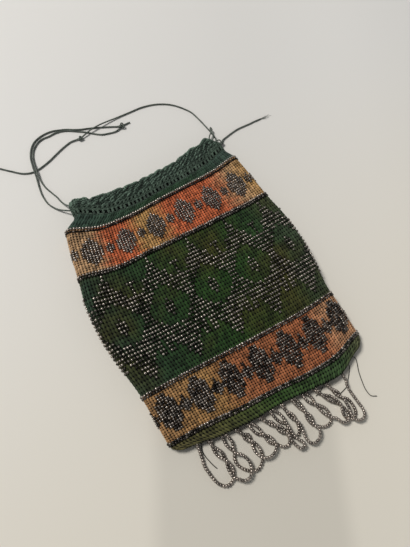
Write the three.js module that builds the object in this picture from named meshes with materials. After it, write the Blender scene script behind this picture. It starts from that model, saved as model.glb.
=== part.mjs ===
// A small drawstring bag, crocheted in the round with beads worked into the stitches.
// It lies flat on its back on a table. Millimetres, X across the bag, Y towards its mouth, Z up.

import * as THREE from 'three';

// Cloth and beads
const cloth = 1.6;
const clearance = 0.3;
const beadRelief = 0.7;
const beadStrand = 1.3;
const underside = beadRelief + clearance;

// The bag's outline at each change of yarn, from the hem to the mouth.
// left and right are its folded edges, thick is how far it stands up,
// and rise is where the row of stitches lies at seven places from left to right.
const outline = {
  hemFoot: { left: -65.6, right: 72.5, thick: 4.4, rise: [-33.8, -38.2, -40.7, -41.4, -44.2, -46.1, -38] },
  hemCorner: { left: -71.4, right: 77.3, thick: 4.8, rise: [-30, -32.3, -35, -36.2, -38.8, -39.2, -32.5] },
  hemTop: { left: -72.6, right: 78, thick: 5.2, rise: [-26.5, -27.4, -30, -31.4, -33.8, -33.6, -27.5] },
  greenFoot: { left: -74.4, right: 77.3, thick: 9, rise: [5, 4.8, 4.2, 3.4, 3, 3.2, 4.5] },
  greenTop: { left: -77, right: 79.6, thick: 9, rise: [93.6, 89.4, 90.2, 91.4, 92.3, 94, 96.5] },
  seam: { left: -70.4, right: 75.4, thick: 9, rise: [130, 122.2, 123, 126, 128.2, 131.6, 136.6] },
  mouth: { left: -59.6, right: 68, thick: 9.6, rise: [151, 147.3, 146.5, 147.5, 151, 157.5, 160.5] },
};

// The green band swells between its two borders
const greenSwell = { low: 3.6, waist: 5, high: 4.3 };

// Collar: the first course of eyelets lies along eyeletRise, and the other edges of the two
// courses stand off it
const eyeletRise = [140.5, 131.4, 130.8, 133.4, 136.2, 141, 148];
const eyeletEdges = { firstFoot: -1.8, firstTop: 1.8, secondFoot: 3, secondTop: 5.6 };
const neck = { left: -60.6, right: 71.6, thick: 9.8 };
const eyeletCells = 38;
const gathers = 19;
const gatherDepth = 0.8;

// Crochet and bead pattern, counted in stitches across and rows up
const ovalRepeats = 10;
const ovalStitches = 16;
const ovalMiddleX = 2;
const diamondStitches = 12;
const upperDiamonds = 13;
const upperDiamondX = 12;
const lowerDiamonds = 14;
const lowerDiamondX = 1.5;
const bandRows = 14.5;
const greenRows = { foot: -16.4, low: -6.5, waist: 0, high: 6.5, top: 15.3 };
const borderWidth = 4.4;

// Each point is stitches from the motif's middle, then rows from its centre line
const crownBreaks = [0, 2.2, 4.6, 6.4, 8];
const windowEdge = [6.1, 5.5, 4.1, 0.1, 0.1];
const upperCrownEdge = [14, 11, 9.3, 6.9, 10.2];
const lowerCrownEdge = [13.8, 12, 8.8, 10.3, 6.9];
const diamondBreaks = [0, 2.6, 4.2, 6];
const diamondEdge = [5, 3, 1.2, 1.9];
const clusterBreaks = [0, 1.6];
const clusterEdge = [2.4, 1.4];

// Hem and fringe
const hemRidges = 3;
const hemRidgeDepth = 0.35;
// Each root of the fringe lets out two strands, which twist about each other down a few points:
// [x, y, quarter turns, half the gap between the strands]. The two outer roots let out one.
const fringePairs = [
  [[-57.5, -35.2, 0, 0]],
  [[-49.6, -36.6, 0, 1], [-49.8, -40.4, 1, 0], [-48.2, -46.1, 2, 1.8], [-46.5, -51.7, 3, 0],
    [-46.5, -57, 4, 1.5], [-47.1, -62, 5, 0]],
  [[-40.8, -38.6, 0, 1], [-39.9, -44.4, 0, 2], [-39.6, -50.5, 1, 0]],
  [[-32.2, -40.2, 0, 1.25], [-29.8, -44, 1, 0], [-28.2, -47, 2, 2], [-27, -50.2, 3, 0],
    [-26.4, -56.2, 4, 2], [-25.7, -62.1, 5, 0]],
  [[-23.6, -41.2, 0, 1], [-20.4, -47, 0, 1.7], [-18.4, -51.1, 1, 0], [-16.4, -55, 2, 1.8],
    [-14.6, -59.4, 3, 0]],
  [[-15, -41.7, 0, 1.4], [-12.2, -45.6, 1, 0], [-10.3, -47.8, 2, 1.1], [-8.3, -50.1, 3, 0],
    [-6.4, -54.3, 4, 1.7], [-4.3, -58.2, 5, 0]],
  [[-6.6, -42, 0, 1], [-3.4, -48, 0, 2], [-1.5, -53.6, 1, 0]],
  [[1.8, -42.2, 0, 1], [3, -47.1, 1, 0], [4.3, -51, 2, 1.4], [5.5, -55.1, 3, 0]],
  [[10.2, -42.8, 0, 1], [12.4, -47.7, 0, 1.3], [13.5, -52.6, 1, 0], [14, -57.2, 2, 1.8],
    [14.1, -62.8, 3, 0]],
  [[18.4, -43.7, 0, 1], [21.1, -48.6, 0, 1.9], [23.1, -53.4, 1, 0], [25.7, -59.1, 2, 1.9],
    [27.3, -65, 3, 0]],
  [[27.3, -45.2, 0, 1], [29.6, -49.3, 1, 0], [34, -55, 2, 1.7], [37.8, -61.6, 3, 0],
    [37.6, -66.9, 4, 1.8], [37, -71.6, 5, 0]],
  [[36.6, -46.5, 0, 1.25], [38.9, -51.2, 1, 0], [40.2, -54.8, 2, 1.2], [41.6, -58.9, 3, 0]],
  [[51, -47, 0, 0]],
];
// Where each loop hangs between two neighbouring twists
const fringeBellies = [
  [[-57.9, -38.8], [-58.5, -43.1], [-59.4, -47.6], [-58.9, -52.3], [-58.1, -56.8], [-56.7, -60.4],
    [-54.4, -63], [-51.5, -64.1], [-49, -63.4]],
  [[-45.3, -63.9], [-43.2, -66.2], [-40.1, -67.1], [-37.6, -66.1], [-35.6, -63.5], [-34.6, -60.2],
    [-34.9, -57.1], [-36.6, -53.5]],
  [[-41.2, -53.1], [-41.7, -56.3], [-40.5, -59.6], [-38, -62.7], [-35.1, -65], [-31.7, -66.1],
    [-28.7, -64.9]],
  [[-23.1, -63.4], [-20.2, -63.7], [-17.3, -62.8], [-15.3, -61.3]],
  [[-12.7, -61.1], [-10.8, -63.5], [-8.2, -64.4], [-5.5, -63.3], [-4.4, -60.9]],
  [[-4.6, -62.1], [-3.6, -66.4], [-1.7, -69.8], [1.2, -69.8], [1.7, -67.4], [0.1, -65.1],
    [-1.2, -61.7], [-1.6, -57.7]],
  [[-2.6, -57.4], [-2.7, -60.5], [-1.2, -62.3], [2, -62.5], [4.5, -59.8]],
  [[5.8, -58.8], [5.1, -62.6], [4.4, -66.4], [5.4, -69.9], [7.8, -71.7], [11, -71.4],
    [14.3, -69.2], [15.5, -66]],
  [[16.4, -64.8], [18.7, -66.8], [22.2, -67.8], [25.6, -67.2]],
  [[29.5, -66.6], [30.7, -69.1], [32.3, -71.4], [34.7, -72.2]],
  [[39.1, -72.8], [41.9, -72.9], [44.5, -71.1], [45.5, -68.1], [45.6, -64.1], [44.4, -60.5]],
  [[41.6, -61.8], [41.3, -66.1], [40.2, -69.8], [40.2, -73.1], [42.6, -75.7], [45.8, -76.2],
    [48.5, -74.5], [49.5, -71], [49.2, -66.9], [48.9, -62.2], [48.7, -58.4], [48.9, -54.8],
    [50.4, -50.6]],
];

// Drawstrings. The points are chosen by hand; the bag and the cords share one table.
const cord = 1.2;
const cordRest = 0.72;
const cordSteps = 110;
const overCord = 2.2;
const leftInnerStrand = [
  [-63, 150.4, 3.4], [-63.6, 157, 1.6], [-64.4, 163.4, 0.8], [-66.4, 168.6, cordRest],
  [-68.2, 173.4, cordRest], [-69.2, 178.6, 0.9], [-69.4, 183.6, 1.5], [-69, 189.6, overCord],
  [-68.2, 195.4, 1.5], [-67.2, 201, 0.9], [-65.4, 206.4, cordRest], [-62.6, 211, cordRest],
  [-58.6, 214.8, cordRest], [-54, 217, cordRest], [-48.6, 217.6, cordRest],
  [-43, 218.8, cordRest], [-37.6, 218.6, cordRest], [-32.4, 217, cordRest],
  [-27.6, 214.4, cordRest], [-23, 212, cordRest], [-18.6, 209, cordRest],
  [-14.4, 206, cordRest], [-10.4, 203.8, cordRest], [-5, 202.8, cordRest],
  [0.6, 201.8, cordRest], [5.4, 201, cordRest], [9.2, 202, cordRest],
  [12.6, 204.6, cordRest], [15.6, 206.8, cordRest],
];
const leftOuterStrand = [
  [-65.6, 144.6, 3.2], [-67.6, 150, 1.6], [-70, 155.6, 0.8], [-72.2, 161, cordRest],
  [-73, 167, cordRest], [-72.8, 173, cordRest], [-72, 179, 0.9], [-71.2, 184, 1.5],
  [-70.6, 189.6, overCord], [-69.8, 196, 1.5], [-68.8, 202, 0.9], [-67, 207.4, cordRest],
  [-64.2, 212.4, cordRest], [-60.4, 216.6, cordRest], [-55.4, 219.4, cordRest],
  [-50, 221, cordRest], [-44.6, 221.4, cordRest], [-39, 220.4, cordRest],
  [-33.4, 218.8, cordRest], [-28, 216.4, cordRest], [-23.4, 214.8, cordRest],
  [-18, 213.6, cordRest], [-12, 212, cordRest], [-6.4, 210.2, cordRest],
  [-1.4, 208.6, cordRest], [3, 207, cordRest],
];
const rightLongStrand = [
  [73.4, 157.2, 4.2], [72.8, 162, 3.2], [73.2, 167.4, 2], [73.4, 173.4, 1],
  [72.6, 180, cordRest], [71.2, 188, cordRest], [68.8, 197, cordRest], [64.8, 203, cordRest],
  [59.6, 208.6, cordRest], [54, 212.6, cordRest], [44, 216.4, cordRest], [32, 217.6, cordRest],
  [20, 216.4, cordRest], [8, 215, 0.9], [-1, 213.7, 1.6], [-8, 212.4, overCord],
  [-17, 210.4, overCord], [-23, 209, 1.6], [-30, 209, 0.9], [-36, 207.2, cordRest],
  [-44, 202.8, cordRest], [-50, 199.4, cordRest], [-56, 196, cordRest], [-62, 193.2, cordRest],
  [-67, 191.4, cordRest], [-72, 190.6, cordRest], [-78.4, 192.2, cordRest],
  [-85, 197.2, cordRest], [-92, 203.2, cordRest], [-99, 209.4, cordRest],
  [-105, 216.4, cordRest], [-109.4, 223, cordRest],
];
const rightShortStrand = [
  [76.2, 151.2, 3.2], [78.6, 155, 1.8], [80.4, 158.8, 0.9], [83.6, 162.2, cordRest],
  [89.4, 164.2, cordRest], [95, 165.4, cordRest], [101, 166.6, cordRest],
  [108, 167.4, cordRest], [116, 168.2, cordRest], [123, 168.8, cordRest], [130, 169, cordRest],
];
const rightBight = [
  [66.4, 161.3, 6.3], [69.4, 166.2, 5.2], [72.6, 171.4, 4.2], [75.2, 176, 3],
  [76.2, 175.6, 2.2], [75.8, 170.6, 2], [75.8, 164.6, 2],
];
const knots = {
  left_tie: { at: [7.6, 205.3, 2], size: [3.4, 2.6, 1.9] },
  right_overhand: { at: [-27.2, 205.6, 1.8], size: [2.5, 2.4, 1.7] },
  right_end_knot: { at: [-110.9, 225.1, 1.7], size: [2.2, 2.2, 1.6] },
  right_hitch: { at: [76, 161.6, 1.95], size: [1.8, 2, 1.8] },
};

const colours = {
  collar: 0x2c5347,
  orange: 0xc96a3a,
  mustard: 0xb98a45,
  green: 0x23472f,
  hem: 0x335a34,
  beads: 0x4d4a4b,
  cord: 0x3f5a55,
};

function finish(colour, roughness = 0.9, metalness = 0) {
  return new THREE.MeshStandardMaterial({ color: colour, roughness, metalness });
}

function mix(a, b, share) {
  return a + (b - a) * share;
}

// Straight steps between the values of a short table
function along(breaks, values, place) {
  let index = 0;
  while (index < breaks.length - 2 && place > breaks[index + 1]) index += 1;
  const share = (place - breaks[index]) / (breaks[index + 1] - breaks[index]);
  return mix(values[index], values[index + 1], THREE.MathUtils.clamp(share, 0, 1));
}

// A level between two others, with its edges pushed out by swell
function between(low, high, share, swell = 0) {
  return {
    left: mix(low.left, high.left, share) - swell,
    right: mix(low.right, high.right, share) + swell,
    thick: mix(low.thick, high.thick, share),
    rise: low.rise.map((y, place) => mix(y, high.rise[place], share)),
    gather: mix(low.gather ?? 0, high.gather ?? 0, share),
  };
}

function greenShare(rows) {
  return (rows - greenRows.foot) / (greenRows.top - greenRows.foot);
}

function greenLevel(name) {
  return between(outline.greenFoot, outline.greenTop, greenShare(greenRows[name]), greenSwell[name]);
}

// An edge of the eyelets, where the collar is already drawn in
function eyeletLevel(name) {
  return { ...neck, rise: eyeletRise.map((y) => y + eyeletEdges[name]), gather: gatherDepth };
}

// Levels from the hem to the mouth. A height on the bag is a number that counts them.
const levels = [
  outline.hemFoot, outline.hemCorner, outline.hemTop,
  outline.greenFoot, greenLevel('low'), greenLevel('waist'), greenLevel('high'), outline.greenTop,
  outline.seam, eyeletLevel('firstFoot'), eyeletLevel('firstTop'), eyeletLevel('secondFoot'),
  eyeletLevel('secondTop'), { ...outline.mouth, gather: gatherDepth },
];
const height = {
  hemFoot: 0, hemCorner: 1, hemTop: 2, greenFoot: 3, greenLow: 4, greenWaist: 5, greenHigh: 6,
  greenTop: 7, seam: 8, firstFoot: 9, firstTop: 10, secondFoot: 11, secondTop: 12, mouth: 13,
};
const middlePlace = 3;

function levelAt(v) {
  const index = Math.min(Math.floor(v), levels.length - 2);
  return between(levels[index], levels[index + 1], v - index);
}

// The same height moved up by a distance, measured at the bag's middle
function raised(v, distance) {
  const below = distance < 0 ? Math.ceil(v) - 1 : Math.floor(v);
  const index = THREE.MathUtils.clamp(below, 0, levels.length - 2);
  return v + distance / (levels[index + 1].rise[middlePlace] - levels[index].rise[middlePlace]);
}

// Where a row of stitches lies, as a smooth line through its seven places
function riseAt(level, x) {
  const last = level.rise.length - 1;
  const place = THREE.MathUtils.clamp((x - level.left) / (level.right - level.left), 0, 1) * last;
  const index = Math.min(Math.floor(place), last - 1);
  const t = place - index;
  const a = level.rise[Math.max(index - 1, 0)];
  const b = level.rise[index];
  const c = level.rise[index + 1];
  const d = level.rise[Math.min(index + 2, last)];
  return b + 0.5 * t * (c - a + t * (2 * a - 5 * b + 4 * c - d + t * (3 * (b - c) + d - a)));
}

function halfRound(level) {
  return level.right - level.left - level.thick + Math.PI * level.thick / 2;
}

// A point of the bag. turn goes once round it, 0 at the left fold, over the front, 0.5 at the
// right fold, and back under it. depth is how far the point stands off the cloth's outside.
function bagPoint(turn, v, depth) {
  const level = levelAt(v);
  const radius = level.thick / 2;
  const quarter = Math.PI * radius / 2;
  const half = halfRound(level);
  const whole = ((turn % 1) + 1) % 1;
  const front = whole <= 0.5;
  const distance = (front ? whole : 1 - whole) * 2 * half;
  let centre = level.left + radius + distance - quarter;
  let angle = Math.PI / 2;
  if (distance < quarter) {
    centre = level.left + radius;
    angle = Math.PI - distance / radius;
  } else if (distance > half - quarter) {
    centre = level.right - radius;
    angle = (half - distance) / radius;
  }
  const fold = level.gather * (0.5 - 0.5 * Math.cos(2 * Math.PI * gathers * 2 * whole));
  const reach = radius + depth - fold;
  const x = centre + reach * Math.cos(angle);
  const up = reach * Math.sin(angle);
  return new THREE.Vector3(x, riseAt(level, x), underside + radius + (front ? up : -up));
}

// The turn at which the front shows a given X
function turnAt(x, v) {
  const level = levelAt(v);
  const radius = level.thick / 2;
  return (x - level.left - radius + Math.PI * radius / 2) / (2 * halfRound(level));
}

// Columns round the bag. Every piece has the same ones on the two folds,
// so that pieces that lie on each other stay parallel there.
const foldReach = 0.0228;
const foldColumns = [0, 1 / 3, 2 / 3, 1].map((share) => share * foldReach);
const plainCells = 14;

function withFolds(flatTurns, apex = true) {
  const folds = apex ? foldColumns : foldColumns.slice(1);
  const half = [...folds, ...flatTurns, ...folds.map((turn) => 0.5 - turn).reverse()];
  const back = half.map((turn) => 1 - turn).reverse();
  const all = [...half, ...back].map((turn) => Number(turn.toFixed(6)));
  return [...new Set(all)].filter((turn) => turn < 1).sort((a, b) => a - b);
}

function evenColumns(cells, apex = true) {
  const turns = [];
  for (let cell = 1; cell < cells; cell += 1) {
    turns.push(mix(foldReach, 0.5 - foldReach, cell / cells));
  }
  return withFolds(turns, apex);
}

// Columns at the corners of a repeated motif, kept clear of the folds
function motifColumns(repeats, stitches, breaks, firstTurn) {
  const room = 0.004;
  const turns = [];
  for (let repeat = 0; repeat < repeats; repeat += 1) {
    for (const stitch of breaks) {
      for (const side of [-1, 1]) {
        const turn = firstTurn + (repeat + side * stitch / stitches) / repeats;
        turns.push(((turn % 1) + 1) % 1);
      }
    }
  }
  const clear = turns.filter((turn) => {
    const toFold = Math.min(turn, 1 - turn, Math.abs(turn - 0.5));
    return toFold > foldReach + room;
  });
  const folds = withFolds([]);
  const all = [...clear, ...folds].map((turn) => Number(turn.toFixed(6)));
  return [...new Set(all)].sort((a, b) => a - b);
}

function closedMesh(name, points, faces, material) {
  const geometry = new THREE.BufferGeometry();
  const positions = points.flatMap((point) => point.toArray());
  geometry.setAttribute('position', new THREE.Float32BufferAttribute(positions, 3));
  geometry.setIndex(faces);
  geometry.computeVertexNormals();
  const mesh = new THREE.Mesh(geometry, material);
  mesh.name = name;
  return mesh;
}

// A wall that follows the bag: a grid of cells with a thickness, whose missing cells are holes.
// heightAt(column, line) gives each line's height, and round joins the last column to the first.
function wall(name, material, options) {
  const { columns, lines, heightAt, inside, outside, isHole = () => false, round = true } = options;
  const points = [];
  for (const depth of [outside, inside]) {
    for (let line = 0; line < lines; line += 1) {
      columns.forEach((turn, column) => points.push(bagPoint(turn, heightAt(column, line), depth)));
    }
  }
  const width = columns.length;
  const cells = round ? width : width - 1;
  const corner = (layer, line, column) => (layer * lines + line) * width + ((column + width) % width);
  const open = (column, line) => {
    if (line < 0 || line >= lines - 1) return true;
    if (!round && (column < 0 || column >= cells)) return true;
    return isHole((column + cells) % cells, line);
  };
  const faces = [];
  const quad = (a, b, c, d) => faces.push(a, b, c, a, c, d);
  for (let line = 0; line < lines - 1; line += 1) {
    for (let column = 0; column < cells; column += 1) {
      if (open(column, line)) continue;
      const outer = [corner(0, line, column), corner(0, line, column + 1), corner(0, line + 1, column + 1),
        corner(0, line + 1, column)];
      const inner = [corner(1, line, column), corner(1, line, column + 1), corner(1, line + 1, column + 1),
        corner(1, line + 1, column)];
      quad(outer[0], outer[1], outer[2], outer[3]);
      quad(inner[3], inner[2], inner[1], inner[0]);
      if (open(column, line - 1)) quad(inner[0], inner[1], outer[1], outer[0]);
      if (open(column + 1, line)) quad(inner[1], inner[2], outer[2], outer[1]);
      if (open(column, line + 1)) quad(inner[2], inner[3], outer[3], outer[2]);
      if (open(column - 1, line)) quad(inner[3], inner[0], outer[0], outer[3]);
    }
  }
  return closedMesh(name, points, faces, material);
}

// A band of cloth between two heights
function band(name, colour, heights) {
  const joined = [...heights];
  joined[0] = raised(heights[0], clearance / 2);
  joined[joined.length - 1] = raised(heights[heights.length - 1], -clearance / 2);
  return wall(name, finish(colour), {
    columns: evenColumns(plainCells),
    lines: joined.length,
    heightAt: (column, line) => joined[line],
    inside: -cloth,
    outside: 0,
  });
}

// The collar: alternate cells of its two eyelet courses are holes, and so is each fold's
function collar() {
  const columns = evenColumns(eyeletCells, false);
  const heights = [raised(height.seam, clearance / 2), height.firstFoot, height.firstTop, height.secondFoot,
    height.secondTop, height.mouth];
  const eyeletLines = [1, 3];
  const isHole = (column, line) => {
    if (!eyeletLines.includes(line)) return false;
    const start = columns[column];
    const end = columns[(column + 1) % columns.length];
    if (start > end || (start < 0.5 && end > 0.5)) return true;
    const onFold = Math.min(start, 1 - end, Math.abs(start - 0.5), Math.abs(end - 0.5)) < foldReach - 1e-6;
    if (onFold) return false;
    const whole = start < 0.5 ? start : 1 - end;
    const cell = Math.round((whole - foldReach) / (0.5 - 2 * foldReach) * eyeletCells);
    return cell % 2 === 1 && cell < eyeletCells - 1;
  };
  return wall('collar', finish(colours.collar), {
    columns,
    lines: heights.length,
    heightAt: (column, line) => heights[line],
    inside: -cloth,
    outside: 0,
    isHole,
  });
}

// The hem: front and back worked together into one thick edge, with a ridge for each row
function hem() {
  const columns = evenColumns(plainCells);
  const width = columns.length;
  const lines = 2 * hemRidges + 1;
  const top = raised(height.hemTop, -clearance / 2);
  const points = [];
  for (let line = 0; line < lines; line += 1) {
    const v = mix(height.hemFoot, top, line / (lines - 1));
    const depth = line % 2 === 1 ? 0 : -hemRidgeDepth;
    columns.forEach((turn) => points.push(bagPoint(turn, v, depth)));
  }
  const faces = [];
  const corner = (line, column) => line * width + ((column + width) % width);
  for (let line = 0; line < lines - 1; line += 1) {
    for (let column = 0; column < width; column += 1) {
      const [a, b] = [corner(line, column), corner(line, column + 1)];
      const [c, d] = [corner(line + 1, column + 1), corner(line + 1, column)];
      faces.push(a, b, c, a, c, d);
    }
  }
  for (let column = 0; column < width / 2; column += 1) {
    for (const [line, flip] of [[0, true], [lines - 1, false]]) {
      const front = [corner(line, column), corner(line, column + 1)];
      const back = [corner(line, -column - 1), corner(line, -column)];
      const loop = [front[0], front[1], back[0], back[1]];
      if (flip) loop.reverse();
      if (new Set(loop.slice(0, 3)).size === 3) faces.push(loop[0], loop[1], loop[2]);
      if (new Set([loop[0], loop[2], loop[3]]).size === 3) faces.push(loop[0], loop[2], loop[3]);
    }
  }
  return closedMesh('hem_band', points, faces, finish(colours.hem));
}

function beadWall(name, options) {
  return wall(name, finish(colours.beads, 0.35, 0.8), {
    inside: clearance,
    outside: clearance + beadRelief,
    ...options,
  });
}

// Two courses of beads over the change of yarn
function border(name, v) {
  const heights = [raised(v, -borderWidth / 2), v, raised(v, borderWidth / 2)];
  return beadWall(name, {
    columns: evenColumns(plainCells),
    lines: heights.length,
    heightAt: (column, line) => heights[line],
  });
}

// Stitches from the middle of the nearest motif
function stitchesOff(turn, firstTurn, repeats, stitches) {
  const place = (turn - firstTurn) * repeats;
  return Math.abs(place - Math.round(place)) * stitches;
}

// Linked diamonds round an orange band
function diamonds(name, foot, repeats, middleX) {
  const centre = foot + 0.5;
  const firstTurn = turnAt(middleX, centre);
  const columns = motifColumns(repeats, diamondStitches, diamondBreaks, firstTurn);
  const heightAt = (column, line) => {
    const off = stitchesOff(columns[column], firstTurn, repeats, diamondStitches);
    const rows = along(diamondBreaks, diamondEdge, off);
    return centre + (line === 0 ? -rows : rows) / bandRows;
  };
  return beadWall(name, { columns, lines: 2, heightAt });
}

// Height on the bag of a row of the green band, counted up from its waist
function greenHeight(rows) {
  const breaks = [greenRows.foot, greenRows.low, greenRows.waist, greenRows.high, greenRows.top];
  const heights = [height.greenFoot, height.greenLow, height.greenWaist, height.greenHigh, height.greenTop];
  return along(breaks, heights, rows);
}

// A crown of beads: the bare ovals bite into one edge, and peaks and prongs make the other
function crown(name, side, edge) {
  const firstTurn = turnAt(ovalMiddleX, height.greenWaist);
  const columns = motifColumns(ovalRepeats, ovalStitches, crownBreaks, firstTurn);
  const beltRows = greenRows.high;
  const heightAt = (column, line) => {
    const off = stitchesOff(columns[column], firstTurn, ovalRepeats, ovalStitches);
    const rows = [along(crownBreaks, windowEdge, off), beltRows, along(crownBreaks, edge, off)];
    return greenHeight(side * (side > 0 ? rows[line] : rows[rows.length - 1 - line]));
  };
  return beadWall(name, { columns, lines: 3, heightAt });
}

// The beads in the middle of one oval
function cluster(name, index) {
  const middle = turnAt(ovalMiddleX, height.greenWaist) + index / ovalRepeats;
  const steps = [...clusterBreaks.slice(1).map((stitch) => -stitch).reverse(), ...clusterBreaks];
  const columns = steps.map((stitch) => middle + stitch / ovalStitches / ovalRepeats);
  const heightAt = (column, line) => {
    const rows = along(clusterBreaks, clusterEdge, Math.abs(steps[column]));
    return greenHeight(line === 0 ? -rows : rows);
  };
  return beadWall(name, { columns, lines: 2, heightAt, round: false });
}

function regular(sides, radius) {
  const shape = new THREE.Shape();
  for (let side = 0; side < sides; side += 1) {
    const angle = 2 * Math.PI * (side + 0.5) / sides;
    const point = [radius * Math.cos(angle), radius * Math.sin(angle)];
    if (side === 0) shape.moveTo(...point);
    else shape.lineTo(...point);
  }
  shape.closePath();
  return shape;
}

function tube(name, material, points, { diameter, sides, steps }) {
  const path = new THREE.CatmullRomCurve3(points, false, 'centripetal');
  const geometry = new THREE.ExtrudeGeometry(regular(sides, diameter / 2), { steps, extrudePath: path });
  const mesh = new THREE.Mesh(geometry, material);
  mesh.name = name;
  return mesh;
}

// One strand of a twist, from the hem down. hand is 1 for the strand that goes on to the right.
// At an odd number of quarter turns the strands cross, one over the other; at an even one they
// lie side by side.
function twistedStrand(index, hand) {
  const pair = fringePairs[index];
  const lone = pair.length === 1;
  const hemFoot = levels[height.hemFoot];
  const rootZ = underside + hemFoot.thick / 2;
  const middle = beadStrand + clearance / 2;
  const crossings = pair[pair.length - 1][2];
  const last = Math.sin(crossings * Math.PI / 2);
  const over = (index % 2 === 0 ? -1 : 1) * last;
  return pair.map(([x, y, quarters, gap], step) => {
    const [beforeX, beforeY] = pair[Math.max(step - 1, 0)];
    const [afterX, afterY] = pair[Math.min(step + 1, pair.length - 1)];
    const along = new THREE.Vector2(afterX - beforeX, afterY - beforeY).normalize();
    const aside = lone ? 0 : -hand * last * gap * Math.cos(quarters * Math.PI / 2);
    const lift = (beadStrand + clearance) / 2 * hand * over * Math.sin(quarters * Math.PI / 2);
    const strandX = x - along.y * aside;
    const strandY = step ? y + along.x * aside : riseAt(hemFoot, strandX) - 2.5 * clearance;
    return new THREE.Vector3(strandX, strandY, step ? middle + lift : rootZ);
  });
}

// One loop of strung beads between two neighbouring roots. Every second loop lies on the others.
function fringeLoop(index) {
  const level = beadStrand / 2 + clearance / 4 + (index % 2) * (beadStrand + clearance);
  const belly = fringeBellies[index].map(([x, y]) => new THREE.Vector3(x, y, level));
  const points = [...twistedStrand(index, 1), ...belly, ...twistedStrand(index + 1, -1).reverse()];
  const name = `fringe_loop_${String(index + 1).padStart(2, '0')}`;
  const steps = Math.round(points.length * 1.35);
  return tube(name, finish(colours.beads, 0.35, 0.8), points, { diameter: beadStrand, sides: 4, steps });
}

// A drawstring's hidden run: along the inside of the front from one fold, across near the other
// fold, and back along the inside of the back. side is -1 for the left fold, 1 for the right.
function hiddenRun(side) {
  const inside = -(cloth + gatherDepth + clearance + cord / 2);
  const firstCourse = mix(height.firstFoot, height.firstTop, 0.5);
  const secondCourse = mix(height.secondFoot, height.secondTop, 0.5);
  const courses = [firstCourse, secondCourse];
  const [backCourse, frontCourse] = side < 0 ? courses : courses.reverse();
  const nearTurn = 0.04;
  const farTurn = 0.455;
  const samples = 7;
  const face = (v, back) => {
    const points = [];
    for (let sample = 0; sample < samples; sample += 1) {
      const reach = mix(nearTurn, farTurn, sample / (samples - 1));
      const turn = side < 0 ? reach : 0.5 - reach;
      points.push(bagPoint(back ? 1 - turn : turn, v, inside));
    }
    return points;
  };
  return [...face(frontCourse, false), ...face(backCourse, true).reverse()];
}

// Where a strand passes straight through the eyelet on a fold, from inside to outside
function foldEyelet(side, [foot, top]) {
  const turn = side < 0 ? 0 : 0.5;
  return [-2 * cloth, cloth].map((depth) => bagPoint(turn, mix(foot, top, 0.5), depth));
}

function drawstring(name, side, strandFront, strandBack) {
  const first = [height.firstFoot, height.firstTop];
  const second = [height.secondFoot, height.secondTop];
  const [frontCourse, backCourse] = side < 0 ? [second, first] : [first, second];
  const points = [
    ...strandFront.map((point) => new THREE.Vector3(...point)).reverse(),
    ...foldEyelet(side, frontCourse).reverse(),
    ...hiddenRun(side),
    ...foldEyelet(side, backCourse),
    ...strandBack.map((point) => new THREE.Vector3(...point)),
  ];
  return tube(name, finish(colours.cord), points, { diameter: cord, sides: 8, steps: cordSteps });
}

// A bight of the cord, pulled out at the collar's corner and caught by the hitch
function bight(name, route) {
  const points = route.map((point) => new THREE.Vector3(...point));
  return tube(name, finish(colours.cord), points, { diameter: cord, sides: 8, steps: 14 });
}

// A pulled knot, as a lump with eight sides
function knot(name, { at, size }) {
  const geometry = new THREE.SphereGeometry(1, 8, 6);
  geometry.scale(...size);
  const mesh = new THREE.Mesh(geometry, finish(colours.cord));
  mesh.position.set(...at);
  mesh.name = name;
  return mesh;
}

const cloths = [
  hem(),
  band('lower_orange_band', colours.mustard, [height.hemTop, height.greenFoot]),
  band('green_band', colours.green,
    [height.greenFoot, height.greenLow, height.greenWaist, height.greenHigh, height.greenTop]),
  band('upper_orange_band', colours.orange, [height.greenTop, height.seam]),
  collar(),
];
const beads = [
  border('hem_border_beads', height.hemTop),
  border('green_foot_border_beads', height.greenFoot),
  border('green_top_border_beads', height.greenTop),
  border('collar_border_beads', height.seam),
  diamonds('lower_diamond_beads', height.hemTop, lowerDiamonds, lowerDiamondX),
  diamonds('upper_diamond_beads', height.greenTop, upperDiamonds, upperDiamondX),
  crown('upper_crown_beads', 1, upperCrownEdge),
  crown('lower_crown_beads', -1, lowerCrownEdge),
];
for (let index = 0; index < ovalRepeats; index += 1) {
  beads.push(cluster(`oval_cluster_${String(index + 1).padStart(2, '0')}`, index));
}
const fringe = fringeBellies.map((belly, index) => fringeLoop(index));
const strings = [
  drawstring('left_drawstring', -1, leftInnerStrand, leftOuterStrand),
  drawstring('right_drawstring', 1, rightShortStrand, rightLongStrand),
  bight('right_bight', rightBight),
  ...Object.entries(knots).map(([name, values]) => knot(name, values)),
];

const bag = new THREE.Group();
bag.add(...cloths, ...beads, ...fringe);

// The origin is under the middle of the bag and its fringe
const box = new THREE.Box3().setFromObject(bag);
const middle = box.getCenter(new THREE.Vector3());
bag.add(...strings);
bag.position.set(-middle.x, -middle.y, -box.min.z);

const model = new THREE.Group();
model.add(bag);

export default model;
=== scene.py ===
# %% [markdown]
# # A beaded drawstring bag, crocheted in the round
# The real bag is one spiral of crochet in space-dyed yarn. A small steel bead sits in a stitch
# wherever the pattern wants one, so the picture on the bag is a chart of beads over bare cloth.
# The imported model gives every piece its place. This script dresses it: it bends fine grids round
# the same form for the cloth, stamps a bead into each charted stitch, and runs cords and strings
# of beads along the same routes.

# %% Load the frame
import math

import bmesh
import bpy
import numpy as np
from mathutils import Matrix, Vector


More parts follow.
